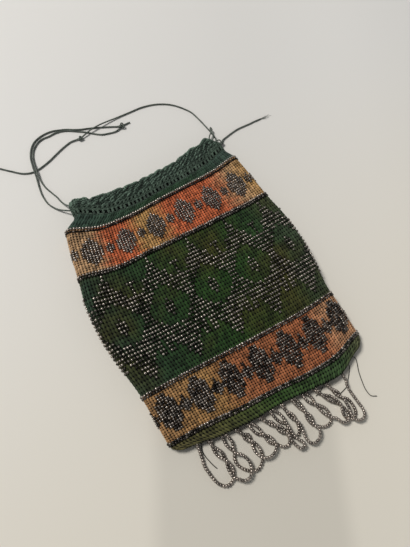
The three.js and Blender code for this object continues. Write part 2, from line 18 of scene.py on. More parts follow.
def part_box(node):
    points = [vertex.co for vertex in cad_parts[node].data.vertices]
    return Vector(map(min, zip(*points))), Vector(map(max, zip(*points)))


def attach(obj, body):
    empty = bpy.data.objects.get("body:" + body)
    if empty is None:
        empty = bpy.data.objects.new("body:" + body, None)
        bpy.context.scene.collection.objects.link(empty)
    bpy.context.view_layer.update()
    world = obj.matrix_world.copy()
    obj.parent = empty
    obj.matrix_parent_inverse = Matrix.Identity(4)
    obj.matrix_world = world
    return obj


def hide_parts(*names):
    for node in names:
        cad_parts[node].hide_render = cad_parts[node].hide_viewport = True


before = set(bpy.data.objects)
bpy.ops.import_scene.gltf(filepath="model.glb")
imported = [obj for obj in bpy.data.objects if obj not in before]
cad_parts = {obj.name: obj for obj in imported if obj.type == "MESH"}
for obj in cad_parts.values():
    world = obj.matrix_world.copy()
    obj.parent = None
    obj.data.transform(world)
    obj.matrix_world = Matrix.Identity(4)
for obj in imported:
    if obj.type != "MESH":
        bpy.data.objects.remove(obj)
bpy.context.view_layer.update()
MM = 0.001
print("CAD nodes:", len(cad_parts))

# %% [markdown]
# The routes and the form below are in the bag's own millimetres, the ones the model was drawn in.
# The model was then centred over its origin. The tie's knot is known in both, so it gives the
# step from one to the other.

# %% From the bag's millimetres to the frame's metres
TIE_AT = (7.6, 205.3)
tie_low, tie_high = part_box("left_tie")
STEP_X = (tie_low.x + tie_high.x) / 2 / MM - TIE_AT[0]
STEP_Y = (tie_low.y + tie_high.y) / 2 / MM - TIE_AT[1]


def at(x, y, z):
    """A point of the bag's own millimetres, in the frame's metres."""
    return Vector(((x + STEP_X) * MM, (y + STEP_Y) * MM, z * MM))


print("step from the bag to the frame, mm:", round(STEP_X, 2), round(STEP_Y, 2))

# %% [markdown]
# The photograph was taken from above the bag's left side, with the phone held a little askew.
# The eye point and its three axes come from fitting the bag's own grid of stitches, and the
# lens from the size of the picture and the focal length in pixels.

# %% Camera
EYE = (-89.57, -19.41, 270.4)
LOOK = Vector((0.31560, 0.27146, -0.90924))
RIGHT = Vector((0.85582, -0.49530, 0.14918))
DOWN = Vector((-0.40985, -0.82522, -0.38863))
FOCAL_PIXELS = 411
PICTURE_HEIGHT = 547
SENSOR = 36


def in_scene(name, data):
    """A new object that holds the data, placed in the scene at the origin."""
    made = bpy.data.objects.new(name, data)
    bpy.context.scene.collection.objects.link(made)
    return made


camera = in_scene("camera", bpy.data.cameras.new("camera"))
turned = Matrix((RIGHT, -DOWN, -LOOK)).transposed().to_4x4()
camera.matrix_world = Matrix.Translation(at(*EYE)) @ turned
camera.data.sensor_width = SENSOR
camera.data.lens = FOCAL_PIXELS / PICTURE_HEIGHT * SENSOR
camera.data.clip_start = 0.01
bpy.context.scene.camera = camera
print("lens:", round(camera.data.lens, 2), "mm")

# %% [markdown]
# ## Paths and tubes
# Everything thin on the bag follows a path: cords, yarn, threads and strings of beads. A path
# starts as a few given points. A smooth curve through them is cut into short steps, and the
# centripetal kind is used because it never loops or bulges between uneven points.


# %% Smooth paths
def smooth_step(s, start, leave, end, arrive):
    """A curve from start to end as s goes from 0 to 1, with the slope it leaves and arrives by."""
    return (
        (2 * s**3 - 3 * s**2 + 1) * start + (s**3 - 2 * s**2 + s) * leave
        + (3 * s**2 - 2 * s**3) * end + (s**3 - s**2) * arrive
    )


def smooth_path(points, step=0.5):
    """Points a small step apart on one smooth curve through the chosen points."""
    chosen = np.array(points, float)
    chosen = np.vstack([2 * chosen[0] - chosen[1], chosen, 2 * chosen[-1] - chosen[-2]])
    line = []
    for a, b, c, d in zip(chosen, chosen[1:], chosen[2:], chosen[3:]):
        before, within, after = (np.sqrt(np.linalg.norm(q - p)) for p, q in ((a, b), (b, c), (c, d)))
        leave = ((b - a) / before - (c - a) / (before + within) + (c - b) / within) * within
        arrive = ((c - b) / within - (d - b) / (within + after) + (d - c) / after) * within
        count = max(2, math.ceil(np.linalg.norm(c - b) / step))
        line += [smooth_step(s, b, leave, c, arrive) for s in np.arange(count) / count]
    line.append(chosen[-2])
    return np.array(line)


def laid(points, rest):
    """Chosen points in full: one with no height of its own lies at the resting height."""
    return [(*point, rest)[:3] for point in points]


def path_length(line):
    """How long a path is, in its own units."""
    return float(np.linalg.norm(np.diff(np.asarray(line), axis=0), axis=1).sum())


def evenly(line, spacing):
    """Places an even spacing apart along a path."""
    line = np.asarray(line, float)
    along = np.concatenate([[0], np.cumsum(np.linalg.norm(np.diff(line, axis=0), axis=1))])
    count = max(2, round(along[-1] / spacing) + 1)
    marks = np.linspace(0, along[-1], count)
    return np.stack([np.interp(marks, along, line[:, axis]) for axis in range(3)], axis=1)


def metres(line):
    """A path of the bag's millimetres, as points of the frame."""
    return [at(*point) for point in np.asarray(line)]


print("a test path of", round(path_length(smooth_path([(0, 0, 0), (10, 0, 0), (10, 10, 0)])), 1), "mm")

# %% [markdown]
# Yarn and cord are twisted from plies, so their cross-section is a ring with a lobe for each ply.
# It is a flat curve here, which a tube then takes as its bevel.


# %% A cord's cross-section
sections = []


def outline(name, radius, sides, plies=0, groove=0.0):
    """The cross-section of a cord: a ring of points, pressed in between its plies."""
    curve = bpy.data.curves.new(name, "CURVE")
    curve.dimensions = "2D"
    spline = curve.splines.new("POLY")
    spline.points.add(sides - 1)
    spline.use_cyclic_u = True
    for number, point in enumerate(spline.points):
        angle = 2 * math.pi * number / sides
        reach = radius * (1 + groove * math.cos(plies * angle)) * MM
        point.co = (reach * math.cos(angle), reach * math.sin(angle), 0, 1)
    sections.append(in_scene(name, curve))
    return sections[-1]


print("cross-sections so far:", len(sections))

# %% [markdown]
# A curve with that bevel gives the plies, and a tilt that grows along it twists them, so the twist
# is real shape and shows at the cord's edge too. The curve is then turned into a mesh, which can
# be cleaned and joined with others.


# %% Tubes with plies
def keep_mesh(name, bm):
    """Turns a finished bmesh into an object at the origin."""
    mesh = bpy.data.meshes.new(name)
    bm.to_mesh(mesh)
    bm.free()
    return in_scene(name, mesh)


def join_up(bm):
    """Closes the seams of a mesh, turns its faces outwards and shades it smooth."""
    bmesh.ops.remove_doubles(bm, verts=bm.verts, dist=1e-6)
    bmesh.ops.recalc_face_normals(bm, faces=bm.faces)
    for face in bm.faces:
        face.smooth = True


def tubes(name, lines, section, lay=0.0, closed=False, thin=None):
    """One mesh of tubes, one along each line of frame points.
    lay is the length of one twist in millimetres, and thin narrows each tube along its length."""
    curve = bpy.data.curves.new(name, "CURVE")
    curve.dimensions = "3D"
    curve.bevel_mode = "OBJECT"
    curve.bevel_object = section
    curve.use_fill_caps = not closed
    for line in lines:
        spline = curve.splines.new("POLY")
        spline.points.add(len(line) - 1)
        spline.use_cyclic_u = closed
        gone = 0.0
        for number, (point, place) in enumerate(zip(spline.points, line)):
            point.co = (*place, 1)
            if number:
                gone += (Vector(place) - Vector(line[number - 1])).length
            point.tilt = 2 * math.pi * gone / (lay * MM) if lay else 0
            point.radius = thin(number / (len(line) - 1)) if thin else 1
    holder = in_scene(name, curve)
    shown = holder.evaluated_get(bpy.context.evaluated_depsgraph_get())
    mesh = bpy.data.meshes.new_from_object(shown)
    bpy.data.objects.remove(holder)
    bm = bmesh.new()
    bm.from_mesh(mesh)
    join_up(bm)
    return keep_mesh(name, bm)


print("meshes so far:", len(bpy.data.meshes))

# %% [markdown]
# ## The drawstrings
# Two cords run round the mouth. The left one comes out at the left corner of the collar as two
# strands tied together at their ends. The right one comes out at the right corner as a long
# strand, which lies under the left pair, and a short one that ends frayed. The points follow the
# model's, so that each strand lies where its solid does, and by the collar's corners they keep a
# little closer to the photograph. A point with no height of its own lies on the table.

# %% Where the strands lie
CORD = 1.2
REST, OVER = 0.72, 2.2
# The third point of a route is where the strand leaves the collar
OUT_OF_COLLAR = 2
STRAND_ROUTES = {
    "left_inner_strand": [
        (-54, 145.6, 6.2), (-57.6, 148.4, 5.2), (-61.2, 152.8, 3), (-63.2, 158, 1.4), (-64.4, 163.4, 0.8),
        (-66.4, 168.6), (-68.2, 173.4), (-69.2, 178.6, 0.9), (-69.4, 183.6, 1.5), (-69, 189.6, OVER),
        (-68.2, 195.4, 1.5), (-67.2, 201, 0.9), (-65.4, 206.4), (-62.6, 211), (-58.6, 214.8), (-54, 217),
        (-48.6, 217.6), (-43, 218.8), (-37.6, 218.6), (-32.4, 217), (-27.6, 214.4), (-23, 212),
        (-18.6, 209), (-14.4, 206), (-10.4, 203.8), (-5, 202.8), (0.6, 202.4), (4.8, 203.6, 1),
        (7.8, 205.2, 1.2), (10.8, 206.1, 0.9), (13, 206.5), (15.6, 206.8),
    ],
    "left_outer_strand": [
        (-55, 142.4, 6), (-59.6, 145.6, 4.6), (-64.4, 149.6, 2.6), (-68, 153.2, 1.3), (-70.6, 157.2, 0.8),
        (-72.2, 161), (-73, 167), (-72.8, 173), (-72, 179, 0.9), (-71.2, 184, 1.5), (-70.6, 189.6, OVER),
        (-69.8, 196, 1.5), (-68.8, 202, 0.9), (-67, 207.4), (-64.2, 212.4), (-60.4, 216.6),
        (-55.4, 219.4), (-50, 221), (-44.6, 221.4), (-39, 220.4), (-33.4, 218.8), (-28, 216.4),
        (-23.4, 214.8), (-18, 213.6), (-12, 212), (-6.4, 210.2), (-1.4, 208.6), (3, 207),
        (6.4, 205.6, 1.2),
    ],
    "right_long_strand": [
        (66, 149.6, 5.9), (68.6, 152.6, 5.6), (70.6, 156.4, 4.4), (72, 160, 3.4), (73, 163.6, 2.6),
        (73.3, 167.6, 1.9), (73.4, 173.4, 1), (72.6, 180), (71.2, 188), (68.8, 197), (64.8, 203),
        (59.6, 208.6), (54, 212.6), (44, 216.4), (32, 217.6), (20, 216.4), (8, 215, 0.9),
        (-1, 213.7, 1.6), (-8, 212.4, OVER), (-17, 210.2, OVER), (-22.6, 208, 1.7), (-27.4, 206.4, 1.3),
        (-31.4, 206.4, 0.9), (-36, 206), (-44, 202.6), (-50, 199.4), (-56, 196), (-62, 193.2),
        (-67, 191.4), (-72, 190.6), (-78.4, 192.2), (-85, 197.2), (-92, 203.2), (-99, 209.4),
        (-105, 216.4), (-109.4, 223), (-110.8, 225, 1.2),
    ],
    "right_short_strand": [
        (66.5, 148.6, 5.9), (69.6, 151.4, 5), (72.4, 154.2, 3.6), (75, 156.6, 2.4), (76.9, 158.5, 1.6),
        (78.4, 159.9, 1.2), (80.6, 161, 0.9), (83.8, 162), (90.3, 164), (97.4, 165.6), (103.9, 166.2),
        (110.3, 166.6), (116, 167.2), (123, 167.6),
    ],
    "right_bight_strand": [
        (61.5, 153, 6.4), (62.8, 155.4, 6.2), (64.8, 157.9, 5.8), (67.7, 160.6, 5), (70.6, 163.3, 4.6),
        (72.3, 166.7, 4.4), (72.6, 170, 4.2), (73.1, 172.7, 3.8), (74.4, 174.2, 3.4), (74.9, 172.6, 2.9),
        (72.7, 169.8, 3), (69.8, 167.4, 3.2), (67.5, 164.4, 3.6), (67.4, 160.9, 3.8), (68, 157.3, 4.4),
        (66.9, 154.3, 5.2),
    ],
}
cord_section = outline("cord_section", CORD / 2 * 0.97, 12, plies=3, groove=0.1)
CORD_LAY = 4.2
strands = {}
for strand_name, route in STRAND_ROUTES.items():
    line = metres(smooth_path(laid(route, REST)))
    exit_point = at(*route[OUT_OF_COLLAR])
    strands[strand_name] = (tubes(strand_name, [line], cord_section, lay=CORD_LAY), line, exit_point)
    print(strand_name, round(path_length(line) * 1000), "mm")

# %% [markdown]
# Each knot is a trefoil, the curve that a pulled overhand knot makes, small enough for its turns
# to press on each other.

# %% Knots
knot_section = outline("knot_section", CORD / 2 * 0.9, 10, plies=3, groove=0.08)


def knot(name, centre, size, turn):
    """A tight trefoil of cord about a point, turned on the table by an angle in degrees."""
    line = []
    for angle in np.linspace(0, 2 * math.pi, 72, endpoint=False):
        x = math.sin(angle) + 2 * math.sin(2 * angle)
        y = math.cos(angle) - 2 * math.cos(2 * angle)
        offset = Vector((x * size, y * size * 0.85, -math.sin(3 * angle) * size * 0.9))
        offset.rotate(Matrix.Rotation(math.radians(turn), 3, "Z"))
        line.append(at(*(Vector(centre) + offset)))
    return tubes(name, [line], knot_section, lay=CORD_LAY, closed=True)


tie_knot = knot("left_tie_knot", (7.6, 205.3, 1.7), 0.85, 20)
overhand_knot = knot("right_overhand_knot", (-27.2, 206, 1.5), 0.62, 50)
end_knot = knot("right_end_knot_cord", (-110.9, 225.1, 1.4), 0.6, 10)
hitch_knot = knot("right_hitch_cord", (76, 157.2, 2.2), 0.45, 80)
RING_CENTRE, RING_RADIUS = (74, 159, 2.2), 1.9
ring_line = []
for angle in np.linspace(0, 2 * math.pi, 36, endpoint=False):
    offset = (RING_RADIUS * math.cos(angle), RING_RADIUS * math.sin(angle), 0.3 * math.sin(2 * angle))
    ring_line.append(at(*(Vector(RING_CENTRE) + Vector(offset))))
hitch_ring = tubes("right_hitch_ring", [ring_line], knot_section, lay=RING_RADIUS * math.pi, closed=True)
print("knots:", tie_knot.name, overhand_knot.name, end_knot.name, hitch_knot.name)

# %% [markdown]
# The short strand ends frayed, so its plies part into a few thin wisps that run on along the table.

# %% The frayed end
wisp_section = outline("wisp_section", 0.16, 5)
FRAY_FROM = (122.4, 167.6, REST)
FRAYED_TO = [
    (134.8, 167.7, 0.3), (133, 169.4, 0.25), (131.4, 166.2, 0.4), (129.6, 169.1, 0.9), (128.4, 165.8, 0.25),
]
wisps = []
for number, (x, y, z) in enumerate(FRAYED_TO):
    start = Vector(FRAY_FROM) + Vector((0, 0.12 * (number - 2), 0.1 * (number % 3 - 1)))
    halfway = (Vector((x, y, z)) + start) / 2 + Vector((0, 0.35 * (-1) ** number, 0.1))
    wisps.append(metres(smooth_path([start, halfway, (x, y, z)], step=0.8)))
frayed_end = tubes("right_short_frayed_end", wisps, wisp_section, thin=lambda share: 1.3 - 0.8 * share)
print("wisps:", len(wisps))

# %% [markdown]
# ## The bag's form
# One function gives any point of the bag. The first number, turn, goes once round: 0 at the left
# fold, over the front, a half at the right fold, and back underneath. The second is the height in
# millimetres at the bag's middle line, and the third the depth that the point stands off the
# cloth. The table is the model's, level by level from the hem to the mouth: how far the folds
# reach, how thick the bag lies, how much it is gathered, and where a row of stitches runs at seven
# places from left to right. Only the mouth's own row is set a little closer to the photograph,
# with the hump and the notch that its edge has there.

# %% The form's levels
UNDERSIDE = 1.0
GATHERS = 20
WAVE = 0.4
# Height at the middle, left fold, right fold, thickness, gather, then the row's seven places
LEVELS = np.array([
    (-41.4, -65.6, 72.5, 4.4, 0, -33.8, -38.2, -40.7, -41.4, -44.2, -46.1, -38),
    (-36.2, -71.4, 77.3, 4.8, 0, -30, -32.3, -35, -36.2, -38.8, -39.2, -32.5),
    (-31.4, -72.6, 78, 5.2, 0, -26.5, -27.4, -30, -31.4, -33.8, -33.6, -27.5),
    (3.4, -74.4, 77.3, 9, 0, 5, 4.8, 4.2, 3.4, 3, 3.2, 4.5),
    (30.9, -78.8, 81.6, 9, 0, 32.7, 31.2, 31, 30.9, 30.9, 31.5, 33.2),
    (48.9, -80.7, 83.5, 9, 0, 50.8, 48.5, 48.7, 48.9, 49.2, 50.2, 52.1),
    (66.9, -80.6, 83.3, 9, 0, 69, 65.9, 66.3, 66.9, 67.5, 68.8, 70.9),
    (91.4, -77, 79.6, 9, 0, 93.6, 89.4, 90.2, 91.4, 92.3, 94, 96.5),
    (126, -70.4, 75.4, 9, 0, 130, 122.2, 123, 126, 128.2, 131.6, 136.6),
    (131.6, -60.6, 71.6, 9.8, 0.8, 138.7, 129.6, 129, 131.6, 134.4, 139.2, 146.2),
    (139, -60.6, 71.6, 9.8, 0.8, 146.1, 137, 136.4, 139, 141.8, 146.6, 153.6),
    (147.5, -59.6, 68, 9.6, 0.8, 150.4, 146.4, 146.2, 147.5, 151, 157.5, 155.5),
])
# A hump and a notch of the mouth's edge: where along it, how wide and how high
MOUTH_BUMPS = [(60.5, 4.5, 5.5), (-45.5, 1.8, -2.2)]

print("levels of the form:", len(LEVELS))

# %% [markdown]
# Between two levels every measure eases from one to the other, and a row of stitches bends
# smoothly through its seven places, so the form has no kinks where its numbers are given.


# %% Between the levels
def eased(table, height):
    """Each column of a table at the given heights, with smooth steps that never overshoot."""
    breaks, values = table[:, 0], table[:, 1:]
    slopes = np.diff(values, axis=0) / np.diff(breaks)[:, None]
    below, above = slopes[:-1], slopes[1:]
    both = np.where(below * above > 0, below + above, 1)
    inner = np.where(below * above > 0, 2 * below * above / both, 0)
    tangents = np.vstack([slopes[:1], inner, slopes[-1:]])
    index = np.clip(np.searchsorted(breaks, height, side="right") - 1, 0, len(breaks) - 2)
    gap = (breaks[index + 1] - breaks[index])[:, None]
    s = (height[:, None] - breaks[index][:, None]) / gap
    return smooth_step(s, values[index], gap * tangents[index], values[index + 1], gap * tangents[index + 1])


def row_at(rises, left, right, x):
    """Where a row of stitches lies at x, as a smooth line through its seven places."""
    last = rises.shape[1] - 1
    place = np.clip((x - left) / (right - left), 0, 1) * last
    index = np.minimum(place.astype(int), last - 1)
    t = place - index
    pick = np.arange(len(x))
    a = rises[pick, np.maximum(index - 1, 0)]
    b = rises[pick, index]
    c = rises[pick, index + 1]
    d = rises[pick, np.minimum(index + 2, last)]
    return b + 0.5 * t * (c - a + t * (2 * a - 5 * b + 4 * c - d + t * (3 * (b - c) + d - a)))


print("thickness at the waist, mm:", eased(LEVELS, np.array([48.9]))[0, 2])

# %% [markdown]
# The bag is a flattened tube. A point of it lies along the flat front or back, or round one of the
# folds, and a gentle wave keeps the cloth from looking ironed.


# %% Points of the form
def bag_points(turn, height, depth):
    """Points of the bag in its own millimetres, one for each turn, height and depth."""
    turn, height, depth = np.broadcast_arrays(*(np.asarray(v, float) for v in (turn, height, depth)))
    level = eased(LEVELS, height)
    left, right, thick, gather, rises = level[:, 0], level[:, 1], level[:, 2], level[:, 3], level[:, 4:]
    radius = thick / 2
    quarter = math.pi * radius / 2
    half = right - left - thick + 2 * quarter
    whole = turn % 1
    front = whole <= 0.5
    distance = np.where(front, whole, 1 - whole) * 2 * half
    on_left, on_right = distance < quarter, distance > half - quarter
    between = left + radius + distance - quarter
    centre = np.where(on_left, left + radius, np.where(on_right, right - radius, between))
    angle = np.where(
        on_left, math.pi - distance / radius, np.where(on_right, (half - distance) / radius, math.pi / 2)
    )
    fold = gather * (0.5 - 0.5 * np.cos(2 * math.pi * GATHERS * 2 * whole))
    reach = radius + depth - fold
    x = centre + reach * np.cos(angle)
    up = reach * np.sin(angle)
    y = row_at(rises, left, right, x)
    near_mouth = np.clip((height - LEVELS[-2, 0]) / (LEVELS[-1, 0] - LEVELS[-2, 0]), 0, 1)
    for place, width, rise in MOUTH_BUMPS:
        y = y + near_mouth * rise * np.exp(-(((x - place) / width) ** 2))
    wave = WAVE * (np.sin(x / 9.5 + y / 21) + np.sin(y / 12 - x / 31) + 0.6 * np.sin(x / 5.3 - y / 7.7))
    z = UNDERSIDE + radius + np.where(front, up + wave * np.sin(angle) ** 2, -up)
    return np.stack([x, y, z], axis=1)


def turn_at(x, height):
    """The turn at which the front of the bag shows a given x."""
    left, right, thick = eased(LEVELS, np.array([height], float))[0, :3]
    radius = thick / 2
    half = right - left - thick + math.pi * radius
    return (x - left - radius + math.pi * radius / 2) / (2 * half)


print("front at the waist, mm:", bag_points([0.25], [48.9], [0]).round(1))

# %% [markdown]
# ## Crocheted cloth
# Each band is a closed wall: a fine grid outside with four columns and three lines to a stitch, a
# rim at each end and a few plain lines inside. The grid starts as Blender's own flat grid. Every
# column gets a turn and every line a height and a depth, and the stitches are pressed into the
# outside as real shape: a rounded column of yarn, a groove at its sides and a hole at its corners.

# %% The shape of a stitch
CLOTH = 1.6
COLUMNS_PER_STITCH = 4
LINES_PER_ROW = 3
rng = np.random.default_rng(7)


def stitch_relief(across, up, relief):
    """How far the yarn stands out, where across counts stitches and up counts rows."""
    side = across % 1 - 0.5
    tall = up % 1 - 0.5
    column = np.cos(math.pi * side) ** 0.7
    row = np.abs(np.cos(math.pi * tall)) ** 0.7
    corner = np.exp(-((0.5 - np.abs(side)) ** 2 + (0.5 - np.abs(tall)) ** 2) / 0.05)
    return relief * (column * (0.6 + 0.4 * row) - 0.5 - 0.9 * corner)


def band_turns(stitches, phase):
    """The turns of a band's columns, with the middle of a stitch at the phase."""
    count = stitches * COLUMNS_PER_STITCH
    return phase + (np.arange(count) / COLUMNS_PER_STITCH - 0.5) / stitches


print("stitch relief at a stitch's middle and corner:", stitch_relief(0.5, 0.5, 1), stitch_relief(0, 0, 1))

# %% [markdown]
# The grid is made flat, with one column or line of points for each turn or height that is wanted.
# Its points then move to their places on the bag, and keep two maps: how many stitches and rows
# they are along, for the stitches' material, and how far round and up they are, for the dye.


# %% Bending a grid round the bag
def bend_grid(name, turns, lines, relief, ring=True):
    """A wall round the bag. Each line is (height, depth, row, whether it shows stitches).
    A ring joins its last line to its first; otherwise each end closes on itself."""
    around, tall = len(turns), len(lines) - (0 if ring else 1)
    bm = bmesh.new()
    bmesh.ops.create_grid(bm, x_segments=around, y_segments=tall, size=0.5)
    flat = np.array([vert.co for vert in bm.verts])
    column = np.rint((flat[:, 0] + 0.5) * around).astype(int)
    line = np.rint((flat[:, 1] + 0.5) * tall).astype(int)
    heights, depths, rows, shown = (np.array(values, float) for values in zip(*lines))
    pick = line % len(lines)
    across = column / COLUMNS_PER_STITCH
    turn = np.append(turns, turns[0] + 1)[column]
    worked = shown[pick] * stitch_relief(across, rows[pick], relief)
    places = bag_points(turn, heights[pick], depths[pick] + worked)
    stitches = bm.loops.layers.uv.new("stitches")
    dye = bm.loops.layers.uv.new("dye")
    row_of = np.where(line == len(lines), rows[0], rows[pick])
    for vert, place in zip(bm.verts, places):
        vert.co = at(*place)
    bm.verts.index_update()
    for face in bm.faces:
        face.smooth = True
        for loop in face.loops:
            number = loop.vert.index
            loop[stitches].uv = (across[number], row_of[number])
            loop[dye].uv = (turn[number], heights[pick[number]] / 100)
    bmesh.ops.remove_doubles(bm, verts=bm.verts, dist=2e-6)
    bmesh.ops.dissolve_degenerate(bm, edges=bm.edges, dist=1e-6)
    return keep_mesh(name, bm)


def cloth_band(name, foot, top, rows, stitches, phase, relief=0.75):
    """A band of crochet between two heights, closed inside and at its rims."""
    count = rows * LINES_PER_ROW
    lines = [(foot + (top - foot) * step / count, 0.0, step / LINES_PER_ROW, 1) for step in range(count + 1)]
    lines[0] = (foot, -0.4, 0, 0)
    lines[-1] = (top, -0.4, rows, 0)
    inner = max(3, rows // 3)
    for step in range(inner + 1):
        share = 1 - step / inner
        lines.append((foot + (top - foot) * share, -CLOTH, rows * share, 0))
    piece = bend_grid(name, band_turns(stitches, phase), lines, relief)
    print(name, len(piece.data.polygons), "faces,", stitches, "stitches round,", rows, "rows")
    return piece


# %% [markdown]
# The pattern repeats ten ovals in the green band and rows of diamonds in the orange ones. Each
# band starts its count of stitches at the middle of a motif, so that motif and stitches agree.

# %% The bands of cloth
HEM_FOOT, HEM_TOP, GREEN_FOOT, GREEN_TOP, SEAM = -40.6, -31.4, 3.4, 91.4, 126.0
EYELET_FOOT, EYELET_TOP, LACE_FOOT, MOUTH = 131.6, 135.2, 139, 147.5
GREEN_ROWS, ORANGE_ROWS = 32, 20
OVALS, OVAL_STITCHES, DIAMOND_STITCHES = 10, 16, 12
GREEN_STITCHES = OVALS * OVAL_STITCHES
UPPER_STITCHES, LOWER_STITCHES = 13 * DIAMOND_STITCHES, 14 * DIAMOND_STITCHES
OVAL_PHASE = turn_at(2, 48.9)
UPPER_PHASE = turn_at(12, 108.6)
LOWER_PHASE = turn_at(2.8, -14)

green_cloth = cloth_band("green_cloth", GREEN_FOOT, GREEN_TOP, GREEN_ROWS, GREEN_STITCHES, OVAL_PHASE)
upper_cloth = cloth_band("upper_orange_cloth", GREEN_TOP, SEAM, ORANGE_ROWS, UPPER_STITCHES, UPPER_PHASE)
lower_cloth = cloth_band("lower_orange_cloth", HEM_TOP, GREEN_FOOT, ORANGE_ROWS, LOWER_STITCHES, LOWER_PHASE)
neck_cloth = cloth_band("collar_cloth", SEAM, EYELET_FOOT, 3, UPPER_STITCHES, UPPER_PHASE, relief=0.25)
mouth_cloth = cloth_band("collar_mouth_cloth", LACE_FOOT, MOUTH - 0.4, 4, UPPER_STITCHES, UPPER_PHASE)

# %% [markdown]
# The hem is worked through both sides at once, so it is one thick closed edge. Its grid runs from
# a line where front and back meet, round the foot, up its rows and in again at the top.

# %% The hem
HEM_STITCHES, HEM_ROWS = 140, 4
hem_lines = [(HEM_FOOT - 0.5, -2.2, 0, 0), (HEM_FOOT - 0.6, -1.3, 0, 0), (HEM_FOOT - 0.4, -0.6, 0, 0)]
for step in range(HEM_ROWS * LINES_PER_ROW + 1):
    share = step / (HEM_ROWS * LINES_PER_ROW)
    hem_lines.append((HEM_FOOT + (HEM_TOP - HEM_FOOT) * share, 0, HEM_ROWS * share, 1))
hem_lines += [(HEM_TOP, -1.2, HEM_ROWS, 0), (HEM_TOP, -2.6, HEM_ROWS, 0)]
hem_cloth = bend_grid("hem_cloth", band_turns(HEM_STITCHES, 0.5 / HEM_STITCHES), hem_lines, 0.9, ring=False)
print("hem faces:", len(hem_cloth.data.polygons))

# %% [markdown]
# ## Beads
# The beads are small drops of steel, turned round with a hole along the row. One bead is spun
# from a short outline, shaded smooth, and copied into every charted stitch. Each copy is tipped a
# little, because no two beads sit alike, and those under the bag are pressed deeper into the cloth
# so that it rests on the table.

# %% One bead
BEAD_RADIUS, FINE_RADIUS, FRINGE_RADIUS = 0.9, 0.8, 1.1
BEAD_LENGTH, BEAD_HOLE = 1.6, 0.34
BEAD_SIDES = 6


def bead_shape(name, radius):
    """A round barrel with a hole along x, spun from its outline."""
    bm = bmesh.new()
    half = BEAD_LENGTH / 2
    ring = [
        (-half * 0.86, BEAD_HOLE), (-half, radius * 0.68), (-half * 0.5, radius),
        (half * 0.5, radius), (half, radius * 0.68), (half * 0.86, BEAD_HOLE),
    ]
    verts = [bm.verts.new((x * MM, 0, r * MM)) for x, r in ring]
    edges = [bm.edges.new((a, b)) for a, b in zip(verts, verts[1:] + verts[:1])]
    bmesh.ops.spin(
        bm, geom=verts + edges, cent=(0, 0, 0), axis=(1, 0, 0), angle=2 * math.pi,
        steps=BEAD_SIDES, use_merge=True,
    )
    join_up(bm)
    mesh = bpy.data.meshes.new(name)
    bm.to_mesh(mesh)
    bm.free()
    return mesh


bead = bead_shape("bead", BEAD_RADIUS)
fine_bead = bead_shape("fine_bead", FINE_RADIUS)
fringe_bead = bead_shape("fringe_bead", FRINGE_RADIUS)
print("one bead:", len(bead.polygons), "faces")

# %% [markdown]
# A field of beads is one mesh: one bead copied into many places. A place is a small frame, with
# its x along the row, and each copy carries a tone of its own, from dark to light.

# %% Copies of a small shape
LIGHTEST = 1.2


def stamp(name, shape, places, tones=None):
    """One mesh with a copy of the shape at every place."""
    bm = bmesh.new()
    for place in places:
        copy = shape.copy()
        copy.transform(place)
        bm.from_mesh(copy)
        bpy.data.meshes.remove(copy)
    piece = keep_mesh(name, bm)
    own = rng.uniform(0, LIGHTEST, len(places)) if tones is None else tones
    values = np.repeat(own, len(shape.vertices))
    piece.data.attributes.new("tone", "FLOAT", "POINT").data.foreach_set("value", values)
    return piece


def stitch_frames(turn, height, sink_back=-0.02, stand_front=0.42):
    """A frame in each stitch: x along the row, z out of the cloth, with a little disorder."""
    turn, height = np.asarray(turn, float), np.asarray(height, float)
    small = 1e-4
    here = bag_points(turn, height, 0)
    along = bag_points(turn + small, height, 0) - bag_points(turn - small, height, 0)
    along /= np.linalg.norm(along, axis=1)[:, None]
    up = bag_points(turn, height + 0.1, 0) - here
    out = np.cross(along, up)
    out /= np.linalg.norm(out, axis=1)[:, None]
    up = np.cross(out, along)
    depth = sink_back + (stand_front - sink_back) * (out[:, 2:] + 1) / 2
    centre = here + out * depth + rng.normal(0, 0.08, here.shape) * (1, 1, 0)
    frames = []
    for place, x, y, z in zip(centre, along, up, out):
        spin = Matrix.Rotation(rng.uniform(0, 2 * math.pi), 4, "X")
        tip = Matrix.Rotation(rng.normal(0, 0.22), 4, "Z") @ Matrix.Rotation(rng.normal(0, 0.12), 4, "Y")
        basis = Matrix((x, y, z)).transposed().to_4x4()
        frames.append(Matrix.Translation(at(*place)) @ basis @ tip @ spin)
    return frames


print("tones run from 0 to", LIGHTEST)

# %% [markdown]
# A crochet chart says which stitches take a bead. Each string is one row, read from the middle of
# a motif outwards, and the other half mirrors it. The green chart runs from the tip of the upper
# crown down to the tip of the lower one, and the bare pointed oval with its small cluster shows
# in the middle.

# %% Charts
GREEN_CHART = [
    "x........", "x........", "xx.......", "xx.......", "xxx....xx", "xxxxx...x", "xxxxx...x",
    "xxxxxx..x", ".xxxxxxxx", "...xxxxxx", "....xxxxx", ".....xxxx", "x.....xxx", "xx.....xx",
    "xx.....xx", "xx.....xx", "x.....xxx", ".....xxxx", "....xxxxx", ".xxxxxxxx", "xxxxxxxxx",
    "xxxxxxxx.", "xxxxxxxx.", "xxxxx.xx.", "xxxx..xx.", "xxx......", "xxx......", "xx.......",
    "x........",
]
UPPER_DIAMOND_CHART = [
    "x......", "xx.....", "xxx....", "xxx....", "xxxx..x", "xxxx.xx", "xxxx.xx", "xxxx.xx",
    "xxxx..x", "xxx....", "xxx....", "xx.....", "x......",
]
LOWER_DIAMOND_CHART = [
    "xx.....", "xx.....", "xxx....", "xxxx...", "xxxx..x", "xxxx..x", "xxxx.xx", "xxxxxxx",
    "xxxxxxx", "xxxx.xx", "xxxx..x", "xxxx...", "xxx....", "xx.....", "xx.....",
]
